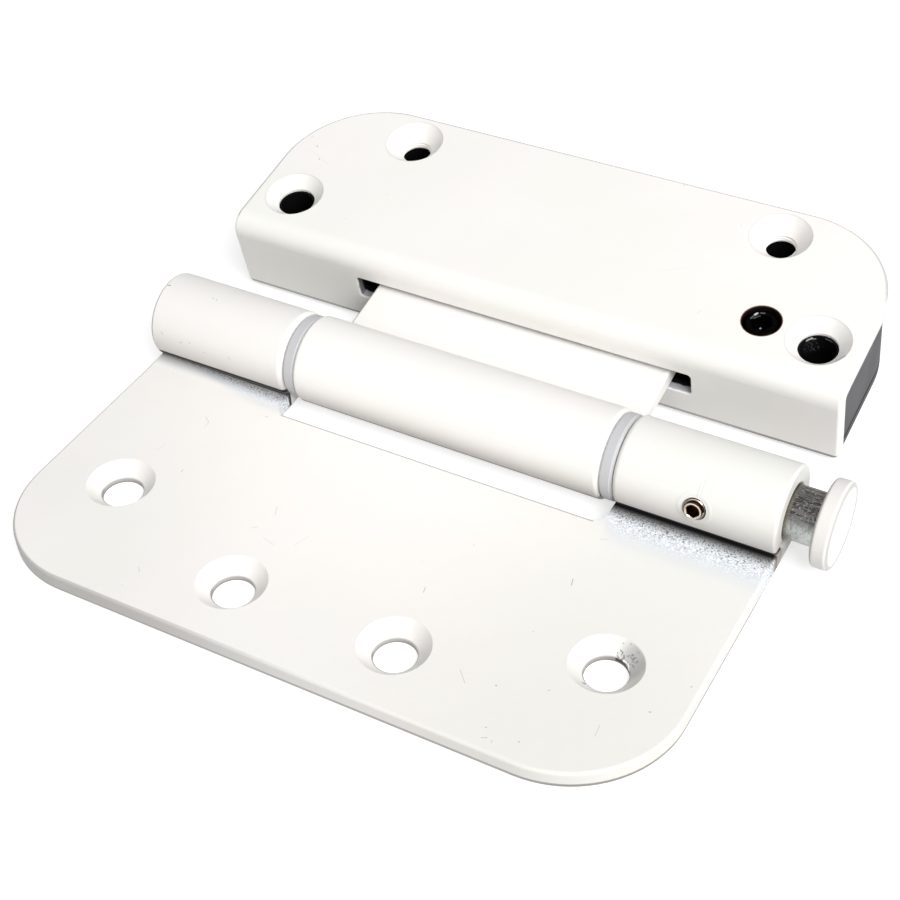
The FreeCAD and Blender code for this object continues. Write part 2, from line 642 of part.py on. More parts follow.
def make_cap():
    """The round cap on the pin, with a blind hole for the pin's spigot."""
    foot = "Derived.cap_foot"
    floor = "Derived.cap_foot + Sizes.spigot_length"
    end = "Derived.cap_foot + Sizes.cap_thickness"
    profile = [(foot, "Sizes.spigot_radius"), (foot, "Sizes.cap_radius"), (end, "Sizes.cap_radius"),
               (end, "0"), (floor, "0"), (floor, "Sizes.spigot_radius")]
    body, turned = make_turned("CapDisc", profile)

    def on_rim(edge):
        """The two outer circles of the cap."""
        return isinstance(edge.Curve, Part.Circle) and near(edge.Curve.Radius, "Sizes.cap_radius")

    finish_edges(body, "Fillet", turned, on_rim, "Sizes.cap_round", "CapRim")
    return body


def make_set_screw():
    """The socket set screw, drawn upright and then laid along its hole."""
    body = new_body("SetScrewBody")
    section = new_sketch(body, "XZ_Plane", "SetScrewSection")
    tip = "Derived.pin_radius + Sizes.set_screw_gap"
    end = "Derived.leaf_barrel + Sizes.set_screw_proud"
    bevel = "Sizes.set_screw_radius / 4"
    inner = f"Sizes.set_screw_radius - {bevel}"
    profile = [("0", tip), (inner, tip), ("Sizes.set_screw_radius", f"{tip} + {bevel}"),
               ("Sizes.set_screw_radius", f"{end} - {bevel}"), (inner, end), ("0", end)]
    draw_outline(section, profile)
    revolve(body, section, "V_Axis", "SetScrewTurning")
    doc.recompute()
    socket = doc.addObject("Part::Prism", "SetScrewSocket")
    socket.Polygon = 6
    socket.setExpression("Circumradius", "Sizes.set_socket / sqrt(3)")
    socket.setExpression("Height", "Sizes.set_socket_depth + 1")
    place_formula(socket, "0", "0", f"{end} - Sizes.set_socket_depth")
    return cut_away("set_screw", body, [socket])


# Cover
BOX_HOLES = {
    "FrontLeft": ("-Derived.front_hole_x", "Derived.front_hole_y"),
    "FrontRight": ("Derived.front_hole_x", "Derived.front_hole_y"),
    "BackLeft": ("-Derived.back_hole_x", "Derived.back_hole_y"),
    "BackRight": ("Derived.back_hole_x", "Derived.back_hole_y"),
}


def make_cover():
    """The bent sheet over the box, with its window, countersunk holes and rear collars."""
    body = new_body("CoverSheet")
    section = new_sketch(body, "YZ_Plane", "CoverSection")
    front = "Sizes.box_front"
    inside = "Derived.housing_front"
    top = "Sizes.cover_rise"
    under = "Derived.cover_under"
    foot = "-Sizes.flange_drop"
    draw_outline(section, [(front, foot), (inside, foot), (inside, under), ("Sizes.box_back", under),
                           ("Sizes.box_back", top), (front, top)])
    bent = pad(body, section, "Sizes.hinge_length", "CoverBend", symmetric=True)

    def at_outer_bend(edge):
        """The long edge where the face meets the flange."""
        middle = edge.CenterOfMass
        return near(middle.y, front) and near(middle.z, top) and is_long(edge)

    bent = finish_edges(body, "Fillet", bent, at_outer_bend, "Sizes.cover_bend", "OuterBend")

    def at_inner_bend(edge):
        """The long edge inside the bend."""
        middle = edge.CenterOfMass
        return near(middle.y, inside) and near(middle.z, under) and is_long(edge)

    bent = finish_edges(body, "Fillet", bent, at_inner_bend, "Sizes.cover_bend - Sizes.cover_sheet",
                        "InnerBend")

    def at_back_corner(edge):
        """The upright edges at the back corners."""
        return is_upright(edge) and near(edge.CenterOfMass.y, "Sizes.box_back")

    bent = finish_edges(body, "Fillet", bent, at_back_corner, "Sizes.cover_corner", "BackCorners")

    def at_flange_corner(edge):
        """The short lower edges at the flange's ends."""
        middle = edge.CenterOfMass
        across = edge.BoundBox.XLength < 1e-4 and edge.BoundBox.ZLength < 1e-4
        return across and near(middle.z, foot)

    bent = finish_edges(body, "Fillet", bent, at_flange_corner, "Sizes.flange_corner", "FlangeCorners")

    def on_rim(edge):
        """The upper rim, round the ends and the back."""
        level = edge.BoundBox.ZLength < 1e-4
        behind = edge.CenterOfMass.y > number(f"{front} + Sizes.cover_bend") + 1e-4
        return level and behind and near(edge.CenterOfMass.z, top)

    bent = finish_edges(body, "Fillet", bent, on_rim, "Sizes.edge_round", "CoverRim")

    collars = new_sketch(body, "XY_Plane", "CollarRings")
    for name in ("BackLeft", "BackRight"):
        draw_circle(collars, *BOX_HOLES[name], "Derived.collar_radius")
    raised = body.newObject("PartDesign::Pad", "Collars")
    raised.Profile = collars
    raised.SideType = "Two sides"
    raised.setExpression("Length", "Derived.cover_under + Sizes.cover_sheet / 2")
    raised.setExpression("Length2", "-Derived.collar_foot")
    doc.recompute()

    holes = new_sketch(body, "XY_Plane", "CoverHoles")
    for name, (x, y) in BOX_HOLES.items():
        draw_circle(holes, x, y, "Sizes.front_hole" if name.startswith("Front") else "Sizes.collar_bore")
    draw_circle(holes, "Derived.adjuster_x", "Derived.adjuster_y", "Sizes.access_hole")
    drilled = pocket(body, holes, "4 * Sizes.collar_depth", "CoverDrilling", symmetric=True)

    def face_circle(radius, y):
        """A test for the holes' circles on the cover's face."""
        def chosen(edge):
            """Whether an edge is such a circle."""
            if not isinstance(edge.Curve, Part.Circle):
                return False
            middle = edge.Curve.Center
            return near(edge.Curve.Radius, radius) and near(middle.z, top) and near(middle.y, y)
        return chosen

    sunk = finish_edges(body, "Chamfer", drilled, face_circle("Sizes.front_hole", "Derived.front_hole_y"),
                        "Sizes.cover_sink - Sizes.front_hole", "FrontSinks")
    finish_edges(body, "Chamfer", sunk, face_circle("Sizes.collar_bore", "Derived.back_hole_y"),
                 "Sizes.cover_sink - Sizes.collar_bore", "BackSinks")

    outline = new_sketch(body, "XZ_Plane", "WindowOutline")
    draw_rectangle(outline, "-Derived.window_half", "Derived.window_half",
                   "-Sizes.window_foot", "-Sizes.window_top")
    opened = pocket(body, outline, "2 * Derived.housing_front + 1", "Window", symmetric=True)

    def at_window_corner(edge):
        """The short edges in the window's corners."""
        across = edge.BoundBox.XLength < 1e-4 and edge.BoundBox.ZLength < 1e-4
        return across and near(abs(edge.CenterOfMass.x), "Derived.window_half")

    opened = finish_edges(body, "Fillet", opened, at_window_corner, "Sizes.window_corner", "WindowCorners")

    def at_window_rim(edge):
        """The window's outline on the flange's face."""
        middle = edge.CenterOfMass
        inside_flange = number("-Sizes.window_foot") - 1e-4 < middle.z < number("-Sizes.window_top") + 1e-4
        on_face = edge.BoundBox.YLength < 1e-4 and near(middle.y, front)
        return on_face and inside_flange and abs(middle.x) < number("Derived.window_half") + 1e-4

    finish_edges(body, "Fillet", opened, at_window_rim, "Sizes.window_round", "WindowRim")
    return body


# Housing and base plate
def make_plate(name, foot, top):
    """A plate with the box's inner outline, between two heights."""
    body = new_body(name)
    outline = new_sketch(body, "XY_Plane", f"{name}Outline")
    draw_rectangle(outline, "-Derived.housing_half", "Derived.housing_half",
                   "Derived.housing_front", "Derived.housing_back")
    block = body.newObject("PartDesign::Pad", f"{name}Block")
    block.Profile = outline
    block.SideType = "Two sides"
    block.setExpression("Length", top)
    block.setExpression("Length2", f"-({foot})")
    doc.recompute()

    def at_back_corner(edge):
        """The upright edges at the back corners."""
        return is_upright(edge) and near(edge.CenterOfMass.y, "Derived.housing_back")

    cornered = finish_edges(body, "Fillet", block, at_back_corner,
                            "Sizes.cover_corner - Sizes.housing_inset", f"{name}Corners")

    def at_bend(edge):
        """The long edge that sits in the cover's bend."""
        middle = edge.CenterOfMass
        return near(middle.y, "Derived.housing_front") and near(middle.z, top) and is_long(edge)

    finish_edges(body, "Fillet", cornered, at_bend, "Sizes.cover_bend - Sizes.cover_sheet",
                 f"{name}Bend")
    return body


def passage_radius(name):
    """Radius of the passage under a screw hole: the back ones go on as wide as their collars."""
    return "Sizes.passage" if name.startswith("Front") else "Sizes.collar_bore"


def base_screw_places():
    """Where the base plate's screws go."""
    places = []
    for sign in ("-", ""):
        places.append((f"{sign}Derived.side_screw_x", "Derived.side_screw_y"))
        places.append((f"{sign}Sizes.rear_screw_x", "Derived.rear_screw_y"))
    return places


def make_housing():
    """The moulded body: pockets for the tongue, the carriage and the pinion, and screw passages."""
    block = make_plate("HousingBlock", "Derived.housing_foot", "Derived.cover_under")
    below = "Derived.housing_foot - 1"
    above = "Derived.cover_under + 1"
    tooth_side = "Derived.rack_tip - Sizes.tooth_pocket_gap / 2"
    tools = [
        new_block("TonguePocket", "-Derived.window_half", "Derived.window_half",
                  "Derived.housing_front - 1", "Derived.pocket_back", below, "Derived.tongue_roof"),
        new_block("CarriagePocket", "-Derived.pocket_half", "Derived.pocket_half",
                  "Derived.carriage_front - Sizes.carriage_gap", "Derived.pocket_back", below,
                  "Derived.pocket_roof"),
        new_block("RackPocket", "Derived.adjuster_x - Derived.rack_span - Sizes.travel - Sizes.stop_gap",
                  "Derived.adjuster_x + Derived.rack_span + Sizes.travel + Sizes.stop_gap",
                  tooth_side, "Derived.carriage_front", below, "Derived.pocket_roof"),
        new_rod("PinionPocket", "Derived.adjuster_x", "Derived.adjuster_y", below, "Derived.pocket_roof",
                "Derived.tip_radius + Sizes.tooth_pocket_gap"),
        new_rod("AdjusterBore", "Derived.adjuster_x", "Derived.adjuster_y", below, above,
                "Derived.head_bore"),
    ]
    for name, (x, y) in BOX_HOLES.items():
        tools.append(new_rod(f"{name}Passage", x, y, below, above, passage_radius(name)))
        if name.startswith("Back"):
            tools.append(new_rod(f"{name}CollarSeat", x, y, "Derived.collar_foot", above,
                                 "Derived.collar_radius"))
    for index, (x, y) in enumerate(base_screw_places()):
        tools.append(new_rod(f"BaseScrewHole{index}", x, y, below,
                             "Sizes.base_screw_length - Sizes.box_foot", "Sizes.base_screw"))
    return cut_away("housing", block, tools)


def make_base_plate():
    """The plate that closes the housing from below."""
    plate = new_body("BasePlateSheet")
    outline = new_sketch(plate, "XY_Plane", "BasePlateOutline")
    draw_rectangle(outline, "-Derived.housing_half", "Derived.housing_half",
                   "Derived.housing_front", "Derived.housing_back")
    outline.AttachmentOffset = FreeCAD.Placement(vector(0, 0, -1), FreeCAD.Rotation())
    outline.setExpression("AttachmentOffset.Base.z", "-Sizes.box_foot")
    doc.recompute()
    block = pad(plate, outline, "Sizes.base_sheet", "BasePlateBlock")

    def at_back_corner(edge):
        """The upright edges at the back corners."""
        return is_upright(edge) and near(edge.CenterOfMass.y, "Derived.housing_back")

    finish_edges(plate, "Fillet", block, at_back_corner, "Sizes.cover_corner - Sizes.housing_inset",
                 "BasePlateCorners")
    below = "-Sizes.box_foot - 1"
    above = "Derived.housing_foot + 1"
    tools = [new_rod("JournalHole", "Derived.adjuster_x", "Derived.adjuster_y", below, above,
                     "Sizes.journal_radius + Sizes.journal_clearance")]
    for name, (x, y) in BOX_HOLES.items():
        tools.append(new_rod(f"{name}PlateHole", x, y, below, above, passage_radius(name)))
    for index, (x, y) in enumerate(base_screw_places()):
        tools.append(new_rod(f"PlateScrewHole{index}", x, y, below, above, "Sizes.base_screw"))
        tools.append(new_sink(f"PlateSink{index}", x, y, "-Sizes.box_foot",
                              "Sizes.base_head_depth - Sizes.box_foot", "Sizes.base_head",
                              "Sizes.base_screw"))
    return cut_away("base_plate", plate, tools)


def make_screws(name, places, foot, head_depth, top, head, shank):
    """A group of like countersunk screws, heads down, each a solid of its own."""
    screws = []
    for index, (x, y) in enumerate(places):
        cone = new_sink(f"{name}Head{index}", x, y, foot, f"({foot}) + ({head_depth})", head, shank)
        stem = new_rod(f"{name}Stem{index}", x, y, f"({foot}) + ({head_depth})", top, shank)
        screw = doc.addObject("Part::MultiFuse", f"{name}Screw{index}")
        screw.Shapes = [cone, stem]
        screw.Refine = True
        arms = []
        for arm, (long_x, long_y) in enumerate((("length", "width"), ("width", "length"))):
            arms.append(new_block(
                f"{name}Recess{index}{arm}", f"{x} - Sizes.recess_{long_x} / 2",
                f"{x} + Sizes.recess_{long_x} / 2", f"{y} - Sizes.recess_{long_y} / 2",
                f"{y} + Sizes.recess_{long_y} / 2", f"({foot}) - 1", f"({foot}) + Sizes.recess_depth"))
        screws.append(cut_away(f"{name}_screw_{index}", screw, arms))
    group = doc.addObject("Part::Compound", f"{name}Screws")
    group.Links = screws
    return group


# Carriage and adjuster
def carriage_screw_places():
    """Where the carriage screws go."""
    middle = "(Derived.carriage_front + Derived.tongue_reach) / 2"
    return [("0" if step == 0 else f"{step} * Sizes.carriage_screw_spacing", middle) for step in (-1, 0, 1)]


def rack_outline():
    """Front edge of the carriage: a straight face with a short rack behind the pinion."""
    half_width = "(Derived.tooth_step / 4 - Sizes.backlash / 4)"
    slant = "tan(Sizes.tooth_slant * 1 deg)"
    tip_half = f"({half_width} - Sizes.tooth_addendum * Sizes.tooth_module * {slant})"
    root_half = f"({half_width} + Sizes.tooth_dedendum * Sizes.tooth_module * {slant})"
    count = int(number("Sizes.rack_teeth"))
    corners = []
    for index in range(count):
        middle = f"Derived.adjuster_x + {index - (count - 1) / 2} * Derived.tooth_step"
        corners += [(f"{middle} - {root_half}", "Derived.rack_root"),
                    (f"{middle} - {tip_half}", "Derived.rack_tip"),
                    (f"{middle} + {tip_half}", "Derived.rack_tip"),
                    (f"{middle} + {root_half}", "Derived.rack_root")]
    return corners


def make_carriage():
    """The block under the tongue, with its rack and the seats of its screws."""
    body = new_body("CarriageBlock")
    plan = new_sketch(body, "XY_Plane", "CarriagePlan")
    front = "Derived.carriage_front"
    corners = [("-Derived.carriage_half", front)] + rack_outline()
    corners += [("Derived.carriage_half", front), ("Derived.carriage_half", "Derived.tongue_reach"),
                ("-Derived.carriage_half", "Derived.tongue_reach")]
    draw_outline(plan, corners)
    plan.AttachmentOffset = FreeCAD.Placement(vector(0, 0, -1), FreeCAD.Rotation())
    plan.setExpression("AttachmentOffset.Base.z", "Derived.carriage_foot")
    doc.recompute()
    pad(body, plan, "Derived.tongue_foot - Derived.carriage_foot", "CarriagePad")
    tools = []
    below = "Derived.carriage_foot"
    for index, (x, y) in enumerate(carriage_screw_places()):
        tools.append(new_rod(f"CarriageHole{index}", x, y, f"{below} - 1", "Derived.tongue_foot + 1",
                             "Sizes.carriage_screw"))
        tools.append(new_sink(f"CarriageSink{index}", x, y, below,
                              f"{below} + Sizes.carriage_head_depth", "Sizes.carriage_head",
                              "Sizes.carriage_screw"))
    return cut_away("carriage", body, tools)


def tooth_outline():
    """One pinion tooth, pointing along Y: flanks drawn through points of the involute."""
    steps = 4
    widest = ("(Derived.tooth_step / 4 - Sizes.backlash / 4) / Derived.pitch_radius * 180 / pi"
              " + tan(Sizes.tooth_slant * 1 deg) * 180 / pi - Sizes.tooth_slant")
    right = []
    for step in range(steps + 1):
        radius = f"(Derived.base_circle + (Derived.tip_radius - Derived.base_circle) * {step / steps})"
        roll = f"acos(Derived.base_circle / {radius})" if step else "0 deg"
        turned = f"(({widest}) - (tan({roll}) * 180 / pi - {roll} / 1 deg)) * 1 deg"
        right.append((f"{radius} * sin({turned})", f"{radius} * cos({turned})"))
    inner = "(0.8 * Derived.root_radius)"
    right.insert(0, (f"{inner} * sin(({widest}) * 1 deg)", f"{inner} * cos(({widest}) * 1 deg)"))
    left = [(f"-({x})", y) for x, y in reversed(right)]
    return right + left


def make_adjuster():
    """The adjuster, about its own axis: a domed socket head above a pinion and a foot."""
    body = new_body("AdjusterTurned")
    section = new_sketch(body, "XZ_Plane", "AdjusterSection")
    foot = "Derived.carriage_foot"
    low_groove = "Derived.groove_middle - Derived.cord_radius * 1.2"
    high_groove = "Derived.groove_middle + Derived.cord_radius * 1.2"
    draw_outline(section, [
        ("0", "-Sizes.box_foot"), ("Sizes.journal_radius", "-Sizes.box_foot"),
        ("Sizes.journal_radius", foot), ("Derived.head_radius", foot),
        ("Derived.head_radius", low_groove), ("Derived.groove_floor", low_groove),
        ("Derived.groove_floor", high_groove), ("Derived.head_radius", high_groove),
        ("Derived.head_radius", "Derived.head_top"), ("0", "Derived.head_top")])
    turned = revolve(body, section, "V_Axis", "AdjusterTurning")

    def on_crown(edge):
        """The upper rim of the head."""
        return isinstance(edge.Curve, Part.Circle) and near(edge.CenterOfMass.z, "Derived.head_top")

    finish_edges(body, "Fillet", turned, on_crown, "Sizes.head_dome", "AdjusterDome")
    tooth = new_sketch(body, "XY_Plane", "PinionTooth")
    draw_outline(tooth, tooth_outline())
    tooth.AttachmentOffset = FreeCAD.Placement(vector(0, 0, -1), FreeCAD.Rotation())
    tooth.setExpression("AttachmentOffset.Base.z", foot)
    doc.recompute()
    first = pad(body, tooth, "Derived.tongue_foot - Sizes.carriage_gap - Derived.carriage_foot",
                "PinionToothPad")
    ring = body.newObject("PartDesign::PolarPattern", "PinionTeeth")
    ring.Originals = [first]
    ring.Axis = (tooth, ["N_Axis"])
    ring.Angle = 360
    ring.setExpression("Occurrences", "Sizes.pinion_teeth")
    body.Tip = ring
    doc.recompute()
    socket = doc.addObject("Part::Prism", "AdjusterSocket")
    socket.Polygon = 6
    socket.setExpression("Circumradius", "Sizes.head_socket / sqrt(3)")
    socket.setExpression("Height", "Sizes.head_socket_depth + 1")
    place_formula(socket, "0", "0", "Derived.head_top - Sizes.head_socket_depth")
    return cut_away("adjuster_pinion", body, [socket])


def make_adjuster_ring():
    """The rubber ring that holds the adjuster where it is set, about the adjuster's axis."""
    body = new_body("AdjusterRing")
    section = new_sketch(body, "XZ_Plane", "AdjusterRingSection")
    draw_circle(section, "Derived.groove_floor + Derived.cord_radius", "Derived.groove_middle",
                "Derived.cord_radius")
    revolve(body, section, "V_Axis", "AdjusterRingTurning")
    return body


# Assembly
REST = "Derived.rest_angle"
seat(make_door_leaf(), "door_leaf")
seat(make_pin(), "hinge_pin")
seat(make_cap(), "pin_cap")
seat(make_set_screw(), "set_screw", "90 - Sizes.set_screw_angle", x="Derived.set_screw_x")
seat(make_slide_leaf(), "slide_leaf", REST)
seat(make_ring("RingLeft", "-1"), "bearing_ring_left", REST)
seat(make_ring("RingRight", "1"), "bearing_ring_right", REST)
seat(make_carriage(), "carriage", REST)
seat(make_screws("Carriage", carriage_screw_places(), "Derived.carriage_foot",
                 "Sizes.carriage_head_depth", "-Sizes.tongue_drop", "Sizes.carriage_head",
                 "Sizes.carriage_screw"), "carriage_screws", REST)
seat(make_cover(), "cover", REST)
seat(make_housing(), "housing", REST)
seat(make_base_plate(), "base_plate", REST)
seat(make_screws("Base", base_screw_places(), "-Sizes.box_foot", "Sizes.base_head_depth",
                 "Sizes.base_screw_length - Sizes.box_foot", "Sizes.base_head", "Sizes.base_screw"),
     "base_plate_screws", REST)
seat(make_adjuster(), "adjuster_pinion", REST, x="Derived.adjuster_x", y="Derived.adjuster_y")
seat(make_adjuster_ring(), "adjuster_ring", REST, x="Derived.adjuster_x", y="Derived.adjuster_y")
doc.recompute()

# Check every object before anything is written
for item in doc.Objects:
    if "Invalid" in item.State or "Error" in item.State:
        raise RuntimeError(f"{item.Name} failed: {item.State}")
for piece in nodes:
    if piece.Shape.isNull() or not piece.Shape.isValid():
        raise RuntimeError(f"{piece.Label} has no valid shape")

os.makedirs("parts", exist_ok=True)
for piece in nodes:
    piece.Shape.exportStep(f"parts/{piece.Label}.step")
    box = piece.Shape.BoundBox
    print(f"{piece.Label}: {len(piece.Shape.Solids)} solids, {piece.Shape.Volume:.1f} mm3,"
          f" x {box.XMin:.2f} {box.XMax:.2f} y {box.YMin:.2f} {box.YMax:.2f}"
          f" z {box.ZMin:.3f} {box.ZMax:.2f}")
print(f"rest angle {number('Derived.rest_angle'):.3f} degrees")
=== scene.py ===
"""The looks of an adjustable door hinge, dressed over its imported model.

The door leaf lies on its back. The box leans on the pin and on the lower front edge of its base.
Marks are given in millimetres from the pin's axis, in the plane of the leaf or of the box: X along
the pin towards its cap, Y from the leaf towards the box and Z out of the face that is seen. A fade
takes the place where it starts and the place where it ends, so the two also say how soft it is.
"""
import logging
import math
from dataclasses import dataclass, replace
from enum import Enum
from functools import partial, reduce
from typing import Optional, Sequence, Union

import bpy
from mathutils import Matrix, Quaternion, Vector


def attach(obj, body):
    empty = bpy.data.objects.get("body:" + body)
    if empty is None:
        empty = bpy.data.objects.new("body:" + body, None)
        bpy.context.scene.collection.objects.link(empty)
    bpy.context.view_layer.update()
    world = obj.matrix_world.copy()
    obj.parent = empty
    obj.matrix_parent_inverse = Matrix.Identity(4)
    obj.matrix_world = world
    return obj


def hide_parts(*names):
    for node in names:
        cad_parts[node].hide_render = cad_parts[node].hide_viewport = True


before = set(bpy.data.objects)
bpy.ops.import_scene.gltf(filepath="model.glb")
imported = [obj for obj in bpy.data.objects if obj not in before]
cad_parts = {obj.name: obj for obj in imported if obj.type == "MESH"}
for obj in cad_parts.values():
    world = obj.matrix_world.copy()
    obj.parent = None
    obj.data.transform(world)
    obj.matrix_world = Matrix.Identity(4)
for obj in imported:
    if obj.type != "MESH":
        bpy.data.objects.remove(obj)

log = logging.getLogger("door_hinge")

Piece = bpy.types.Object
Material = bpy.types.Material
Socket = bpy.types.NodeSocket
Feed = Union[float, tuple, Socket]
Spot = tuple[float, float]
Point = tuple[float, float, float]

MM = 0.001
AXIS_Y = 30.0
AXIS_Z = 7.05
BOX_TILT = math.radians(10.450073)

HINGE_HALF = 50.8
CORNER = 15.9
LEAF_TOP = -4.35
MIDDLE_HALF = 25.6
SCREW_LEAN = math.radians(9.0)
SCREW_PLACE: Point = (39.2, 0.0, 0.0)
SCREW_RUN: Point = (0.0, -math.cos(SCREW_LEAN), math.sin(SCREW_LEAN))
COVER_FACE = 3.95
COVER_BACK = 1.75
FRONT_HOLE: Spot = (44.2, 26.65)
BACK_HOLE: Spot = (31.65, 44.3)
ACCESS_HOLE: Spot = (35.4, 27.25)

WHITE: Point = (1.0, 1.0, 1.0)
# Colour of the painted shade along edges and rims, standing in for their shadowed outlines.
PAINTED_EDGE_SHADE: Point = (0.27, 0.25, 0.24)
# Black of the painted shadow lines along the crease under the outer knuckles.
PAINTED_SHADOW_BLACK: Point = (0.006, 0.006, 0.007)
SMOOTH_ANGLE = math.radians(35.0)


class Plane(Enum):
    """The plane that a piece's marks are given in, by its lean about the pin."""

    LEAF = 0.0
    BOX = BOX_TILT

    def offset(self) -> Point:
        """Where the part's origin lies, seen in this plane from the pin's axis."""
        cosine, sine = math.cos(self.value), math.sin(self.value)
        return (0.0, -AXIS_Y * cosine - AXIS_Z * sine, AXIS_Y * sine - AXIS_Z * cosine)


class Wiring:
    """Nodes that are added to a tree one by one."""

    def __init__(self, tree: bpy.types.NodeTree) -> None:
        """Start from an empty tree."""
        self.tree = tree
        tree.nodes.clear()

    def feed(self, socket: Socket, value: Feed) -> None:
        """Link or set one input.

        Args:
            socket: The input.
            value: A socket to link, or the value to set.
        """
        if isinstance(value, Socket):
            self.tree.links.new(value, socket)
        elif isinstance(value, tuple) and len(value) == 3 and socket.type == "RGBA":
            socket.default_value = (*value, 1.0)
        else:
            socket.default_value = value

    def node(self, kind: str, inputs: dict, **settings) -> bpy.types.Node:
        """Add one node.

        Args:
            kind: The node's type without its prefix.
            inputs: What goes into its inputs, by name or number.
            **settings: The node's own options.

        Returns:
            The new node.
        """
        made = self.tree.nodes.new(f"ShaderNode{kind}")
        for option, value in settings.items():
            setattr(made, option, value)
        for key, value in inputs.items():
            self.feed(made.inputs[key], value)
        return made

    def calc(self, kind: str, *terms: Feed) -> Socket:
        """Work out one value by a named operation."""
        return self.node("Math", dict(enumerate(terms)), operation=kind).outputs[0]

    def most(self, first: Feed, second: Feed) -> Socket:
        """The larger of two values, or where either of two masks holds."""
        return self.calc("MAXIMUM", first, second)

    def seen(self) -> tuple[Socket, Socket]:
        """What the camera sees.

        Returns:
            What it sees straight, and what it sees straight, through glass or in a mirror.
        """
        ways = self.node("LightPath", {}).outputs
        either = self.most(ways["Is Camera Ray"], ways["Is Transmission Ray"])
        return ways["Is Camera Ray"], self.most(either, ways["Is Glossy Ray"])


class Mix(Wiring):
    """A material under way, with the tone and the relief that it has so far."""

    def __init__(self, name: str, tone: Feed, plane: Plane = Plane.LEAF) -> None:
        """Start a material and its place in millimetres.

        Args:
            name: The material's name.
            tone: The colour that the others are laid over.
            plane: The plane of its marks.
        """
        self.material = bpy.data.materials.new(name)
        self.material.use_nodes = True
        super().__init__(self.material.node_tree)
        self.tone = tone
        self.relief: dict[str, Socket] = {}
        inputs = {"Vector": self.node("TexCoord", {}).outputs["Object"], "Scale": (1 / MM, 1 / MM, 1 / MM),
                  "Rotation": (-plane.value, 0.0, 0.0), "Location": plane.offset()}
        self.place = self.node("Mapping", inputs).outputs[0]
        self.x, self.y, self.z = self.node("SeparateXYZ", {0: self.place}).outputs

    def arrow(self, kind: str, *terms: Feed) -> bpy.types.NodeOutputs:
        """Work on vectors by a named operation, and give the node's outputs."""
        return self.node("VectorMath", dict(enumerate(terms)), operation=kind).outputs

    def both(self, *masks: Feed) -> Feed:
        """Where all of the masks hold: their product."""
        return reduce(partial(self.calc, "MULTIPLY"), masks)

    def off(self, value: Feed, place: float) -> Socket:
        """How far a value is from a place, to either side."""
        return self.calc("ABSOLUTE", self.calc("SUBTRACT", value, place))

    def sway(self, value: Feed, share: float, other: Feed) -> Socket:
        """A value moved by a share of another, as for a ragged edge."""
        return self.calc("MULTIPLY_ADD", other, share, value)

    def fade(self, value: Feed, low: float, high: float, begin: float = 0.0, end: float = 1.0) -> Socket:
        """Map a value smoothly from the span of low and high to that of begin and end."""
        inputs = {"Value": value, "From Min": low, "From Max": high, "To Min": begin, "To Max": end}
        return self.node("MapRange", inputs, interpolation_type="SMOOTHSTEP").outputs[0]

    def edge(self, value: Feed, limit: float, low: float, high: float, *ends: float) -> Socket:
        """Fade across a limit, between two places that are given from it."""
        return self.fade(value, limit + low, limit + high, *ends)

    def grain(self, scale: float, detail: float = 3.0, rough: float = 0.5,
              stretch: Point = (1.0, 1.0, 1.0), shift: Point = (0.0, 0.0, 0.0)) -> Socket:
        """Clouds round a half, with so many to the millimetre and so many octaves of detail."""
        where = self.node("Mapping", {"Vector": self.place, "Scale": stretch, "Location": shift})
        return self.node("TexNoise", {"Vector": where.outputs[0], "Scale": scale, "Detail": detail,
                                      "Roughness": rough}).outputs["Fac"]

    def leg(self, point: Point) -> Socket:
        """The way from a point to the surface."""
        return self.arrow("SUBTRACT", self.place, point)[0]

    def apart(self, point: Point) -> Socket:
        """How far the surface is from a point."""
        return self.arrow("DISTANCE", self.place, point)["Value"]

    def bore(self, x: float, y: float) -> Socket:
        """How far the surface is from a hole's axis, square to the plane at a place."""
        flat = self.arrow("MULTIPLY", self.place, (1.0, 1.0, 0.0))[0]
        return self.arrow("DISTANCE", flat, (x, y, 0.0))["Value"]

    def spoke(self) -> Socket:
        """How far the surface is from the pin's axis."""
        round_pin = self.arrow("MULTIPLY", self.place, (0.0, 1.0, 1.0))[0]
        return self.arrow("LENGTH", round_pin)["Value"]

    def toward(self, run: Point) -> Socket:
        """How far the surface lies along a direction, whose vector is one long."""
        return self.arrow("DOT_PRODUCT", self.place, run)["Value"]

    def line(self, point: Point, run: Point) -> Socket:
        """How far the surface is from an endless line through a point, in a direction one long."""
        return self.arrow("LENGTH", self.arrow("CROSS_PRODUCT", self.leg(point), run)[0])["Value"]

    def blend(self, share: Feed, first: Feed, second: Feed) -> Socket:
        """Mix two colours, with a share of the second."""
        return self.node("Mix", {0: share, 6: first, 7: second}, data_type="RGBA").outputs[2]

    def lay(self, colour: Feed, *masks: Feed) -> None:
        """Lay a colour over the tone so far, where all of the masks hold."""
        self.tone = self.blend(self.both(*masks), self.tone, colour)

    def dent(self, height: Feed, depth: float) -> None:
        """Add relief of a height from 0 to 1, whose depth is in millimetres."""
        inputs = {"Height": height, "Distance": depth * MM, "Strength": 1.0, **self.relief}
        self.relief = {"Normal": self.node("Bump", inputs).outputs[0]}

    def close(self, rough: Feed, metallic: float = 0.0, specular: float = 0.5) -> Material:
        """Finish the material with its surface shader.

        Args:
            rough: Roughness.
            metallic: 1 for bare metal.
            specular: How strongly a plain surface mirrors.

        Returns:
            The material.
        """
        inputs = {"Base Color": self.tone, "Roughness": rough, "Metallic": metallic,
                  "Specular IOR Level": specular, **self.relief}
        surface = self.node("BsdfPrincipled", inputs).outputs[0]
        self.node("OutputMaterial", {"Surface": surface})
        return self.material


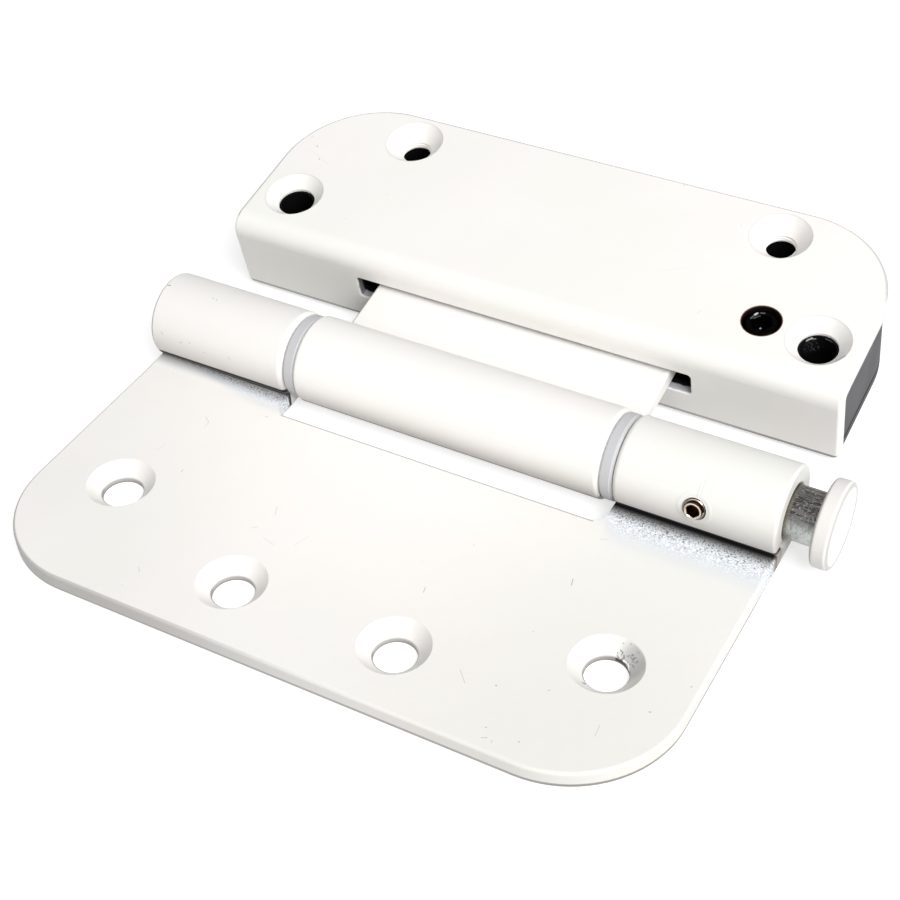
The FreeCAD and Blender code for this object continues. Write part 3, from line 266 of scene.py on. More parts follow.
@dataclass(frozen=True)
class Hair:
    """A fine scratch between two places, or a speck where they are the same; some are painted highlights or
    shade.
    """

    start: Point
    end: Point
    width: float = 0.16
    dark: float = 0.45
    colour: Point = (0.24, 0.22, 0.2)

    def mask(self, mix: Mix) -> Socket:
        """Where the line is.

        Args:
            mix: The material.

        Returns:
            A mask that is strongest along the line.
        """
        if self.start == self.end:
            apart = mix.apart(self.start)
        else:
            span = Vector(self.end) - Vector(self.start)
            away = mix.leg(self.start)
            along = mix.arrow("DOT_PRODUCT", away, tuple(span / span.length_squared))["Value"]
            foot = mix.node("VectorMath", {0: tuple(span)}, operation="SCALE")
            mix.feed(foot.inputs["Scale"], mix.node("Clamp", {"Value": along}).outputs[0])
            apart = mix.arrow("DISTANCE", away, foot.outputs[0])["Value"]
        return mix.fade(apart, self.width / 2, self.width / 5, 0.0, self.dark)


Hairs = tuple[Hair, ...]


def surface_marks(rows: Sequence[tuple[float, ...]], height: float) -> Hairs:
    """Scratches at a height, with X and Y of both ends, width and darkness; a speck has one X and Y."""
    return tuple(Hair((*row[:2], height), (*row[-4:-2], height), *row[-2:]) for row in rows)


@dataclass(frozen=True)
class Outline:
    """The rounded rectangle that a plate is cut to."""

    near: float
    far: float

    def inset(self, mix: Mix) -> Socket:
        """How far the surface lies inside the outline.

        Args:
            mix: The material.

        Returns:
            The distance in millimetres.
        """
        across = mix.off(mix.y, (self.near + self.far) / 2)
        wide = mix.calc("SUBTRACT", mix.calc("ABSOLUTE", mix.x), HINGE_HALF - CORNER)
        deep = mix.calc("SUBTRACT", across, abs(self.near - self.far) / 2 - CORNER)
        corner = mix.node("CombineXYZ", {0: mix.most(wide, 0.0), 1: mix.most(deep, 0.0)}).outputs[0]
        outer = mix.arrow("LENGTH", corner)["Value"]
        inner = mix.calc("MINIMUM", mix.most(wide, deep), 0.0)
        return mix.calc("SUBTRACT", CORNER, mix.calc("ADD", outer, inner))


@dataclass(frozen=True)
class Chip:
    """A patch where the paint has flaked to dark steel in a ragged outline."""

    place: Point
    reach: float
    flakes: float = 2.2
    share: float = 0.5
    colour: Point = (0.1, 0.1, 0.105)

    def mask(self, mix: Mix) -> Socket:
        """Where the steel shows."""
        near = mix.fade(mix.apart(self.place), self.reach, self.reach * 0.3, -0.3, 0.08)
        return mix.edge(mix.calc("ADD", mix.grain(self.flakes, 3.0, 0.6, shift=self.place), near),
                        -self.share, 1.0, 1.04)


@dataclass(frozen=True)
class PowderCoat:
    """Warm white powder coat with its marks."""

    name: str
    plane: Plane = Plane.LEAF
    colour: Point = (0.938, 0.922, 0.89)
    rose: Point = (0.936, 0.904, 0.88)
    moss: Point = (0.905, 0.903, 0.862)
    rough: float = 0.42
    foot: float = -20.0
    outline: Optional[Outline] = None
    rim_reach: float = 0.46
    rim_share: float = 0.58
    rim_right: float = 0.1
    hairs: Hairs = ()
    chips: tuple[Chip, ...] = ()

    def make(self) -> Material:
        """Build the finish.

        Returns:
            The material.
        """
        mix = Mix(self.name, self.colour, self.plane)
        clouds = mix.grain(0.055, 3.0, 0.55)
        mix.lay(self.rose, mix.fade(clouds, 0.4, 0.62))
        drift = mix.grain(0.028, 2.0, 0.5, shift=(7.0, 3.0, 1.0))
        mix.lay(self.moss, mix.fade(drift, 0.42, 0.6, 0.0, 0.8))
        self.age(mix)
        # Painted shade along the foot's arris and the outline's rim.
        mix.lay(PAINTED_EDGE_SHADE, self.shaded_edges(mix))
        self.mark(mix)
        for mark in (*self.hairs, *self.chips):
            mix.lay(mark.colour, mark.mask(mix))
        mix.dent(mix.grain(0.16, 2.0, 0.5, shift=(0.3, 0.1, 0.2)), 0.04)
        mix.dent(mix.grain(0.85, 2.0, 0.4), 0.016)
        self.raise_up(mix)
        return mix.close(mix.fade(clouds, 0.3, 0.75, self.rough, self.rough + 0.1), specular=0.28)

    def shaded_edges(self, mix: Mix) -> Socket:
        """Where the painted shade lies along the arris at the foot and along the rim of the outline.

        Args:
            mix: The material.

        Returns:
            How far the painted edge shade comes through.
        """
        arris = mix.both(mix.edge(mix.z, self.foot, 0.88, 0.64), mix.fade(mix.x, 30.0, 44.0, 0.72, 0.96))
        if not self.outline:
            return arris
        rim = mix.fade(self.outline.inset(mix), self.rim_reach, self.rim_reach * 0.43, 0.0, self.rim_share)
        to_right = mix.fade(mix.x, 20.0, -30.0, self.rim_right, 1.0)
        return mix.most(arris, mix.both(rim, to_right, self.painted_light_marks(mix)))

    def painted_light_marks(self, mix: Mix) -> Feed:
        """Which part of the outline's edge gets the painted shade; on plain paint all of it does."""
        return 1.0

    def age(self, mix: Mix) -> None:
        """Painted light and shade across the piece; plain paint has none."""

    def mark(self, mix: Mix) -> None:
        """What only this piece's paint shows; plain paint shows nothing more."""

    def raise_up(self, mix: Mix) -> None:
        """Add this piece's own relief; plain paint has none."""


@dataclass(frozen=True)
class LeafPaint(PowderCoat):
    """The door leaf's paint: speckled in the crease under the outer knuckles, partly as thin paint and
    partly as painted shadow.
    """

    crease: float = 5.12
    notch: float = 9.3
    holes: tuple[Spot, ...] = ((38.4, -31.9), (-38.4, -31.9), (12.7, -41.25), (-12.7, -41.25))
    hole_radius: float = 2.95
    mouth: float = 1.75
    collar: float = 2.3
    # Centres of the painted light on the middle and of the painted shade on the far right corner.
    lit_middle: Spot = (-8.0, -14.0)
    shaded_corner: Spot = (44.0, -50.0)
    shaded_wall: Point = (41.1, -29.3, -5.4)
    seam: Point = (50.8, -4.6, -5.0)
    scores: tuple[tuple[float, float, float, float], ...] = (
        (39.25, 2.6, 5.2, 0.2), (39.75, 2.9, 6.0, 0.16), (40.9, 3.4, 6.1, 0.1))
    score_slant: float = -0.07

    def age(self, mix: Mix) -> None:
        """Paint light on the leaf's middle and shade on its far right corner.

        Args:
            mix: The material.
        """
        flat = mix.edge(mix.z, LEAF_TOP, 0.5, 0.35)
        mix.lay((0.985, 0.94, 0.912), flat, mix.fade(mix.bore(*self.lit_middle), 42.0, 5.0))
        mix.lay((0.825, 0.812, 0.766), flat, mix.fade(mix.bore(*self.shaded_corner), 42.0, 4.0))

    def mark(self, mix: Mix) -> None:
        """Add the crease and the knuckles' painted shade, painted shade at the holes' rims and on a
        countersink's wall, a dark brown ring round the bore and a patch of painted shade below it at the
        right end, painted shade along the left end, the bare recess of the set screw and scores above it.

        Args:
            mix: The material.
        """
        self.speckle(mix)
        self.shade_roll(mix)
        # Painted shade along each hole's lower rim.
        for x, y in self.holes:
            aside = mix.off(mix.calc("SUBTRACT", mix.bore(x, y), self.hole_radius), 0.06)
            low = mix.most(mix.fade(mix.z, -6.7, -6.86), mix.edge(mix.y, y, -0.3, -1.3))
            mix.lay((0.2, 0.2, 0.21), mix.fade(aside, 0.16, 0.05), mix.fade(mix.z, -6.0, -6.3), low, 0.7)
        # Painted shade on the right wall of a countersink.
        mix.lay((0.42, 0.42, 0.42), mix.fade(mix.apart(self.shaded_wall), 3.4, 1.6, 0.0, 0.6),
                mix.edge(mix.z, LEAF_TOP, -0.03, -0.15))
        end = mix.edge(mix.x, HINGE_HALF, -0.25, -0.05)
        mix.lay((0.16, 0.12, 0.08), end, mix.fade(mix.spoke(), 4.28, 4.08), 0.75)
        # Painted shade on the leaf's right end face, under the knuckle.
        mix.lay((0.28, 0.215, 0.175), end, mix.fade(mix.apart(self.seam), 2.4, 1.0, 0.0, 0.72))
        # Painted shade along the left end of the knuckle.
        mix.lay(PAINTED_EDGE_SHADE, mix.edge(mix.x, -HINGE_HALF, 0.4, 0.14), mix.fade(mix.z, -3.9, -3.7), 0.5)
        front = mix.fade(mix.y, -1.0, -2.0)
        mouth = mix.edge(mix.line(SCREW_PLACE, SCREW_RUN), self.mouth, 0.02, -0.06)
        mix.lay((0.3, 0.27, 0.25), mouth, front, 0.85)
        for x, low, high, dark in self.scores:
            aside = mix.off(mix.sway(mix.x, self.score_slant, mix.z), x + self.score_slant * low)
            mix.lay((0.45, 0.33, 0.29), mix.fade(aside, 0.11, 0.03), mix.fade(mix.z, low, low + 0.5),
                    mix.fade(mix.z, high, high - 1.2), front, dark)

    def speckle(self, mix: Mix) -> None:
        """Paint light and shade into the crease: lighten the leaf beside it, tint it blue-grey, speckle it
        dark, partly as thin paint and partly as painted shadow, add bright specks of painted highlight, and
        paint a black shadow line beside the knuckles.

        Args:
            mix: The material.
        """
        spread = mix.most(mix.fade(mix.x, -47.5, -29.0, 0.08, 0.55), mix.fade(mix.x, 24.0, 30.0))
        gap = mix.calc("SUBTRACT", -self.crease, mix.y)
        away = mix.calc("DIVIDE", gap, spread)
        flat = mix.both(mix.edge(mix.z, LEAF_TOP, 0.5, 0.35), mix.fade(gap, -0.4, -0.3),
                        self.beside_notch(mix))
        # Painted light that lifts the leaf beside the crease.
        mix.lay((0.99, 0.99, 0.99), flat, mix.fade(gap, 3.6, 0.3))
        # Painted blue-grey shade along the crease.
        mix.lay((0.66, 0.71, 0.79), flat, mix.fade(away, 9.0, 2.5, 0.0, 0.75),
                mix.fade(away, 0.5, 2.5, 0.3, 1.0))
        # Dark specks: partly thin paint, partly painted shadow.
        fine = mix.grain(3.6, 2.0, 0.7)
        mix.lay((0.09, 0.1, 0.115), flat, mix.fade(mix.sway(fine, -0.034, away), 0.44, 0.5),
                mix.fade(away, 6.0, 1.5, 0.0, 0.88))
        # Bright specks of painted highlight.
        bright = mix.grain(4.0, 1.0, 0.5, shift=(4.0, 9.0, 2.0))
        mix.lay((0.94, 0.97, 1.0), flat, mix.fade(bright, 0.5, 0.56), mix.fade(away, 6.5, 3.5),
                mix.fade(away, 0.35, 0.6, 0.0, 0.95))
        # Painted black shadow line along the crease.
        wavy = mix.sway(away, 1.6, mix.calc("SUBTRACT", fine, 0.5))
        mix.lay(PAINTED_SHADOW_BLACK, flat, mix.fade(wavy, 0.42, 0.15))

    def shade_roll(self, mix: Mix) -> None:
        """Paint shade on the outer knuckles towards the crease, and a line of painted shade along the edge
        of the notch between them.

        Args:
            mix: The material.
        """
        roll = mix.both(mix.edge(mix.z, LEAF_TOP, 0.03, 0.19), mix.fade(mix.y, -3.0, -3.5),
                        self.beside_notch(mix))
        # Painted shade on the knuckles' lower side.
        mix.lay((0.46, 0.42, 0.4), roll, mix.fade(mix.z, 3.2, -2.6),
                mix.fade(mix.x, -10.0, 10.0, 0.42, 0.58))
        lower = mix.most(mix.fade(mix.x, -10.0, 10.0), mix.fade(mix.z, -4.1, -3.3, 0.45, 1.0))
        # Painted black shadow at the knuckles' foot.
        mix.lay(PAINTED_SHADOW_BLACK, roll, mix.fade(mix.z, -2.62, -2.8), lower)
        # Painted shade line along the notch's edge.
        cut = mix.calc("ABSOLUTE", mix.calc("ADD", mix.y, self.notch))
        within = mix.edge(mix.calc("ABSOLUTE", mix.x), MIDDLE_HALF, 0.4, -0.2)
        mix.lay((0.2, 0.19, 0.18), mix.fade(cut, 0.34, 0.12), within, 0.55)

    def beside_notch(self, mix: Mix) -> Socket:
        """Where the outer knuckles are, to both sides of the middle one."""
        return mix.fade(mix.calc("ABSOLUTE", mix.x), MIDDLE_HALF, MIDDLE_HALF + 0.3)

    def raise_up(self, mix: Mix) -> None:
        """Raise a thin collar of paint round the set screw."""
        collar = mix.fade(mix.off(mix.line(SCREW_PLACE, SCREW_RUN), self.collar), 0.4, 0.0)
        mix.dent(mix.both(collar, mix.fade(mix.y, -1.0, -2.0)), 0.05)


@dataclass(frozen=True)
class CoverPaint(PowderCoat):
    """The cover's paint, with painted shade inside its holes and its window and along its edges."""

    sink: float = 4.73
    window: Point = (28.3, -0.9, -5.0)
    access_radius: float = 3.0

    def painted_light_marks(self, mix: Mix) -> Feed:
        """Only the top and the lower arris of the cover's edge get the painted shade.

        Args:
            mix: The material.

        Returns:
            A mask that is 1 along the two arrises.
        """
        lower = mix.both(mix.edge(mix.z, COVER_BACK, 0.45, 0.25), mix.fade(mix.y, 21.0, 22.0))
        bend = mix.most(mix.fade(mix.x, 30.0, 20.0), mix.fade(mix.y, 34.0, 40.0))
        return mix.most(lower, mix.both(mix.edge(mix.z, COVER_FACE, -0.45, -0.25), bend))

    def mark(self, mix: Mix) -> None:
        """Paint shade into the holes and the window: black in the front holes, grey lines round the
        countersinks, black deep in the access hole below its brown rim, and shaded, then black window
        walls.

        Args:
            mix: The material.
        """
        ragged = mix.grain(1.6, 2.0, 0.6)
        deep = mix.fade(mix.sway(mix.z, 0.9, ragged), 2.5, 2.4)
        for side in (-1.0, 1.0):
            apart = mix.bore(side * FRONT_HOLE[0], FRONT_HOLE[1])
            # Painted black shade in the front holes.
            mix.lay((0.008, 0.008, 0.008), mix.fade(apart, 2.85, 2.75), deep)
            for x, y in (FRONT_HOLE, BACK_HOLE):
                aside = mix.off(mix.bore(side * x, y), self.sink)
                # Painted shade line round each countersink's rim.
                mix.lay((0.4, 0.38, 0.37), mix.fade(aside, 0.16, 0.04),
                        mix.edge(mix.z, COVER_FACE, -0.3, -0.2), 0.24)
        wall = mix.fade(mix.bore(*ACCESS_HOLE), self.access_radius + 0.08, self.access_radius)
        mix.lay((0.16, 0.07, 0.035), wall)
        # Painted black shade deep in the access hole.
        mix.lay((0.004, 0.003, 0.003), wall, mix.fade(mix.z, 3.86, 3.74))
        half_width, top, foot = self.window
        middle = mix.calc("ABSOLUTE", mix.x)
        window = mix.both(mix.edge(middle, half_width, 0.3, 0.2), mix.edge(mix.z, top, 0.3, 0.2),
                          mix.edge(mix.z, foot, -0.3, -0.2))
        jamb = mix.edge(middle, half_width, -0.5, -0.1)
        # Painted shade on the window's walls, then painted black deeper in.
        shade = mix.blend(jamb, (0.42, 0.42, 0.47), (0.13, 0.13, 0.14))
        inward = mix.sway(mix.y, 0.5, ragged)
        mix.lay(shade, window, mix.fade(inward, 17.95, 18.3, 0.0, 0.9))
        mix.lay((0.006, 0.006, 0.006), window, mix.fade(inward, 19.05, 19.35))


@dataclass(frozen=True)
class CapPaint(PowderCoat):
    """The cap's paint, with painted shade round its side and along its rims."""

    inner: float = 55.2
    outer: float = 57.68
    radius: float = 6.27
    far: Point = (0.0, 0.7071, -0.7071)

    def mark(self, mix: Mix) -> None:
        """Paint shade on the side and along the rims.

        Args:
            mix: The material.
        """
        spoke = mix.spoke()
        rear = mix.both(mix.edge(mix.x, self.inner, 0.42, 0.22), 0.6)
        wide = mix.fade(mix.toward(self.far), 0.0, self.radius, 0.0, 0.75)
        front = mix.both(mix.edge(mix.x, self.outer, -0.3, -0.1),
                         mix.edge(mix.calc("ADD", spoke, wide), self.radius, -0.85, -0.65), 0.5)
        # Painted shade on the side.
        mix.lay((0.56, 0.51, 0.49), mix.edge(spoke, self.radius, -0.14, -0.04),
                mix.edge(mix.x, self.outer, -0.3, -0.55), 0.3)
        # Painted shade along the rear rim and the front face's far rim.
        mix.lay(PAINTED_EDGE_SHADE, mix.most(rear, front))


@dataclass(frozen=True)
class TonguePaint(PowderCoat):
    """The frame arm's paint, with painted shade at the tongue's left edge and under its knuckle."""

    edge: float = 24.85
    root: float = 7.0
    under: Point = (0.0, 0.5818, -0.8136)

    def mark(self, mix: Mix) -> None:
        """Paint shade on the tongue's edge and the knuckle's underside.

        Args:
            mix: The material.
        """
        side = mix.both(mix.edge(mix.x, -self.edge, 0.45, 0.2), mix.fade(mix.y, self.root, self.root + 0.3),
                        0.62)
        depth = mix.toward(self.under)
        front = mix.fade(mix.y, -2.0, -2.5)
        low = mix.both(mix.fade(depth, -2.1, -1.3), mix.fade(depth, 0.9, -0.9), front, 0.66)
        # Painted shade on the knuckle's lower front.
        mix.lay((0.5, 0.45, 0.42), mix.fade(depth, -6.4, -2.4), mix.fade(depth, 2.6, -0.9), front,
                mix.fade(mix.x, -24.0, 24.0, 0.33, 0.44))
        # Painted shade line along the tongue's left edge and the knuckle's underside.
        mix.lay((0.2, 0.18, 0.17), mix.most(side, low))


@dataclass(frozen=True)
class CloudedSkin:
    """A finish of one colour with faint clouds: plastic, casting, black oxide or rubber."""

    name: str
    colour: Point
    shade: float
    rough: tuple[float, float]
    clouds: Point
    relief: float
    pores: float = 0.0
    plane: Plane = Plane.LEAF
    glints: Hairs = ()
    metallic: float = 0.0
    specular: float = 0.5

    def make(self) -> Material:
        """Build the finish.

        Returns:
            The material.
        """
        mix = Mix(self.name, self.colour, self.plane)
        clouds = mix.grain(*self.clouds)
        mix.lay(tuple(part * self.shade for part in self.colour), clouds)
        # Painted highlights.
        for glint in self.glints:
            mix.lay(glint.colour, glint.mask(mix))
        mix.dent(mix.grain(self.pores, 2.0) if self.pores else clouds, self.relief)
        return mix.close(mix.fade(clouds, 0.3, 0.7, *self.rough), self.metallic, self.specular)


@dataclass(frozen=True)
class GrainedPlastic:
    """Dark grey plastic of the box, finely grained outside, with painted black shade in its passages and
    inside, painted shade under the cover and painted highlights in a hole.
    """

    outline: Outline
    colour: Point = (0.142, 0.14, 0.147)
    inside: Point = (0.005, 0.005, 0.005)
    skin: float = 0.9
    foot: float = -9.4
    joint: float = -9.35
    front: float = 19.85
    passages: tuple[tuple[Spot, float], ...] = ((FRONT_HOLE, 3.0), (BACK_HOLE, 2.8))
    glints: Hairs = (Hair((42.0, 28.0, 1.55), (42.5, 28.62, 1.58), 0.5, 0.45, WHITE),
                     Hair((42.5, 28.62, 1.58), (42.94, 28.92, 1.34), 0.36, 0.25, WHITE),
                     Hair((44.39, 29.24, 1.58), (45.8, 28.95, 1.6), 0.34, 0.15, WHITE))
    hole_reflection: Point = (42.6, 28.6, 0.1)

    def make(self) -> Material:
        """Build the finish.

        Returns:
            The material.
        """
        mix = Mix("box_body_plastic", self.colour, Plane.BOX)
        clouds = mix.grain(0.12, 3.0)
        mix.lay(tuple(part * 0.85 for part in self.colour), clouds)
        mix.lay((0.012, 0.012, 0.013), mix.fade(mix.off(mix.z, self.joint), 0.46, 0.2, 0.0, 0.9))
        mix.lay((0.06, 0.06, 0.06), mix.fade(mix.z, -10.4, -10.65, 0.0, 0.6))
        # Painted shade where the housing meets the cover.
        under = mix.most(mix.edge(mix.y, self.front, 0.55, 0.3), mix.edge(mix.z, COVER_BACK, -0.42, -0.22))
        mix.lay((0.06, 0.05, 0.045), under, 0.6)
        # Painted black shade inside the box and in its passages.
        within = mix.both(mix.fade(self.outline.inset(mix), self.skin, self.skin + 0.1),
                          mix.fade(mix.z, self.foot, self.foot + 0.2))
        for (x, y), radius in self.passages:
            for side in (1.0, -1.0):
                within = mix.most(within, mix.fade(mix.bore(side * x, y), radius, radius - 0.1))
        mix.lay(self.inside, within)
        # Painted grey reflection in the right front hole.
        mix.lay((0.24, 0.24, 0.28), mix.fade(mix.apart(self.hole_reflection), 1.9, 0.7),
                mix.fade(mix.grain(3.2, 2.0), 0.52, 0.6, 0.0, 0.22))
        # Painted highlights in the right front hole.
        for glint in self.glints:
            mix.lay(glint.colour, glint.mask(mix))
        rough = mix.sway(mix.fade(clouds, 0.3, 0.7, 0.55, 0.68), -0.3, within)
        mix.dent(mix.grain(2.6, 2.0, 0.6), 0.02)
        return mix.close(rough, specular=0.03)


@dataclass(frozen=True)
class PlatedSteel:
    """Plated steel with its drawing lines and dull patches."""

    name: str
    colour: Point = (0.66, 0.66, 0.65)
    dull: Point = (0.34, 0.33, 0.32)
    rough: float = 0.28
    stretch: Point = (1.0, 1.0, 1.0)

    def make(self) -> Material:
        """Build the finish.

        Returns:
            The material.
        """
        mix = Mix(self.name, self.colour)
        streaks = mix.grain(2.2, 3.0, 0.6, self.stretch)
        patches = mix.grain(0.42, 4.0, 0.65)
        mix.lay(self.dull, mix.fade(streaks, 0.35, 0.7), mix.fade(patches, 0.4, 0.62))
        self.tarnish_and_reflection(mix)
        mix.dent(streaks, 0.012)
        return mix.close(mix.fade(patches, 0.3, 0.7, self.rough, self.rough + 0.2), metallic=1.0)

    def tarnish_and_reflection(self, mix: Mix) -> None:
        """This piece's own tarnish and painted reflection; plain plating has none."""


@dataclass(frozen=True)
class PinSteel(PlatedSteel):
    """The pin's zinc, mottled, with a painted dark reflection on its upper side."""

    root: float = 51.35

    def tarnish_and_reflection(self, mix: Mix) -> None:
        """Darken the upper side in specks and rings as a painted reflection, and add dark specks and an
        olive band at the root.

        Args:
            mix: The material.
        """
        specks = mix.grain(2.6, 3.0, 0.75, shift=(3.0, 5.0, 1.0))
        rings = mix.grain(3.4, 2.0, 0.6, (0.1, 1.0, 1.0))
        upper = mix.fade(mix.sway(mix.z, 2.2, specks), 1.5, 3.6, 0.0, 0.95)
        shade = mix.blend(mix.fade(rings, 0.44, 0.58), (0.035, 0.032, 0.031), (0.135, 0.13, 0.125))
        shade = mix.blend(mix.fade(specks, 0.54, 0.64, 0.0, 0.8), shade, (0.34, 0.34, 0.33))
        mix.lay((0.19, 0.19, 0.175), mix.fade(specks, 0.5, 0.62, 0.0, 0.75))
        # Painted dark reflection on the upper side.
        mix.lay(shade, upper)
        mix.lay((0.24, 0.22, 0.165), mix.fade(mix.x, self.root, self.root - 0.25, 0.0, 0.55))


@dataclass(frozen=True)
class ScrewNickel(PlatedSteel):
    """The set screw's plating, brown in its thread's roots and in its socket."""

    crest: float = 1.41
    core: float = 1.235
    socket: float = 1.06
    face: float = 7.08

    def tarnish_and_reflection(self, mix: Mix) -> None:
        """Brown the roots and the socket.

        Args:
            mix: The material.
        """
        axis = mix.line(SCREW_PLACE, SCREW_RUN)
        mix.lay((0.06, 0.028, 0.016), mix.fade(axis, self.crest, self.crest - 0.11),
                mix.fade(axis, self.core, self.core + 0.02))
        away = mix.arrow("DOT_PRODUCT", mix.leg(SCREW_PLACE), SCREW_RUN)["Value"]
        mix.lay((0.05, 0.022, 0.012), mix.fade(axis, self.socket + 0.06, self.socket),
                mix.fade(away, self.face, self.face - 0.1))


def dress(node: str, material: Material) -> None:
    """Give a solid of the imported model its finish.

    Args:
        node: The solid's name.
        material: The finish.
    """
    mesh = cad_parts[node].data
    if not mesh.materials:
        mesh.materials.append(material)
    for slot in range(len(mesh.materials)):
        mesh.materials[slot] = material
    log.info("%s wears %s", node, material.name)


def pick(*pieces: Piece) -> None:
    """Select these objects alone, with the last one active.

    Args:
        *pieces: The objects, or none to clear the selection.
    """
    bpy.ops.object.select_all(action="DESELECT")
    for piece in pieces:
        piece.select_set(True)
        bpy.context.view_layer.objects.active = piece


def modify(piece: Piece, kind: str, **settings) -> None:
    """Add a modifier to the active object and apply it.

    Args:
        piece: The active object.
        kind: The modifier's type.
        **settings: Its options.
    """
    modifier = piece.modifiers.new(kind, kind)
    for option, value in settings.items():
        setattr(modifier, option, value)
    bpy.ops.object.modifier_apply(modifier=kind)


def settle() -> Piece:
    """Move the picked object's place, turn and scale into its mesh, and give the object."""
    bpy.ops.object.transform_apply(location=True, rotation=True, scale=True)
    return bpy.context.object


@dataclass
class ThreadRidge:
    """A sharp ridge that winds round a screw, or round the inside of a hole."""

    root: float
    crest: float
    pitch: float
    turns: int
    start: float
    steps: int = 40
    flank: float = 0.46

    def build(self, name: str) -> Piece:
        """Wind the ridge round the Z axis.

        Args:
            name: The piece's name.

        Returns:
            The ridge, closed at both ends.
        """
        reach = self.pitch * self.flank
        pick()
        bpy.ops.mesh.primitive_circle_add(vertices=3, radius=1.0, location=(0.0, 0.0, 0.0))
        ridge = bpy.context.object
        ridge.name = name
        corners = ((self.root, -reach), (self.crest, 0.0), (self.root, reach))
        for vertex, (radius, height) in zip(ridge.data.vertices, corners):
            vertex.co = (radius * MM, 0.0, (self.start + height) * MM)
        modify(ridge, "SCREW", screw_offset=self.pitch * MM, iterations=self.turns, steps=self.steps,
               render_steps=self.steps, use_merge_vertices=False)
        bpy.ops.object.mode_set(mode="EDIT")
        bpy.ops.mesh.select_all(action="SELECT")
        bpy.ops.mesh.fill_holes(sides=3)
        bpy.ops.mesh.normals_make_consistent(inside=False)
        bpy.ops.object.mode_set(mode="OBJECT")
        bpy.ops.object.shade_smooth_by_angle(angle=SMOOTH_ANGLE)
        return ridge


@dataclass
class SetScrew:
    """The threaded set screw with its hexagon socket, standing a little out of the knuckle."""

    core: float = 1.26
    crest: float = 1.44
    pitch: float = 0.42
    tip: float = 4.15
    end: float = 7.15
    bevel: float = 0.1
    sides: int = 48
    plain_ends: tuple[float, float] = (0.3, 0.35)
    ridge_sink: float = 0.04
    ridge_start: float = 0.32
    socket_flat: float = 1.84
    socket_depth: float = 1.3
    socket_turn: float = 0.2
    mouth_slope: float = 0.12

    def build(self) -> None:
        """Model the screw upright, then lean it into its hole."""
        shank = self.turn_shank()
        self.cut_socket(shank)
        turns = int((self.end - self.plain_ends[1] - self.tip - self.plain_ends[0]) / self.pitch)
        ridge = ThreadRidge(self.core - self.ridge_sink, self.crest, self.pitch, turns,
                            self.tip + self.ridge_start).build("ridge")
        pick(ridge, shank)
        bpy.ops.object.join()
        shank.location = Vector((SCREW_PLACE[0], AXIS_Y, AXIS_Z)) * MM
        shank.rotation_euler = (math.pi / 2 - SCREW_LEAN, 0.0, 0.0)
        settle()
        shank.data.materials.clear()
        nickel = ScrewNickel("set_screw_nickel", (0.8, 0.7, 0.6), (0.5, 0.38, 0.28), 0.22)
        shank.data.materials.append(nickel.make())
        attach(shank, "locking_screw")
        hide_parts("set_screw")
        log.info("set screw threaded and set")

    def turn_shank(self) -> Piece:
        """Turn the plain shank with its bevelled ends.

        Returns:
            The shank, upright on the Z axis.
        """
        pick()
        bpy.ops.mesh.primitive_cylinder_add(vertices=self.sides, radius=self.core * MM,
                                            depth=(self.end - self.tip) * MM,
                                            location=(0.0, 0.0, (self.end + self.tip) / 2 * MM))
        shank = settle()
        shank.name = "set_screw_threaded"
        modify(shank, "BEVEL", width=self.bevel * MM, segments=2, limit_method="ANGLE")
        return shank

    def cut_socket(self, shank: Piece) -> None:
        """Sink the hexagon socket with its sloping mouth.

        Args:
            shank: The upright shank.
        """
        radius = self.socket_flat / math.sqrt(3.0)
        top = (0.0, 0.0, self.end * MM)
        pick()
        bpy.ops.mesh.primitive_cylinder_add(vertices=6, radius=radius * MM,
                                            depth=2 * self.socket_depth * MM, location=top,
                                            rotation=(0.0, 0.0, self.socket_turn))
        cutter = settle()
        pick()
        bpy.ops.mesh.primitive_cone_add(vertices=self.sides, radius1=(radius - self.mouth_slope) * MM,
                                        radius2=(radius + self.mouth_slope) * MM,
                                        depth=2 * self.mouth_slope * MM, location=top)
        for tool in (cutter, settle()):
            pick(shank)
            modify(shank, "BOOLEAN", operation="DIFFERENCE", solver="EXACT", object=tool)
            bpy.data.objects.remove(tool)
        bpy.ops.object.shade_smooth_by_angle(angle=SMOOTH_ANGLE)


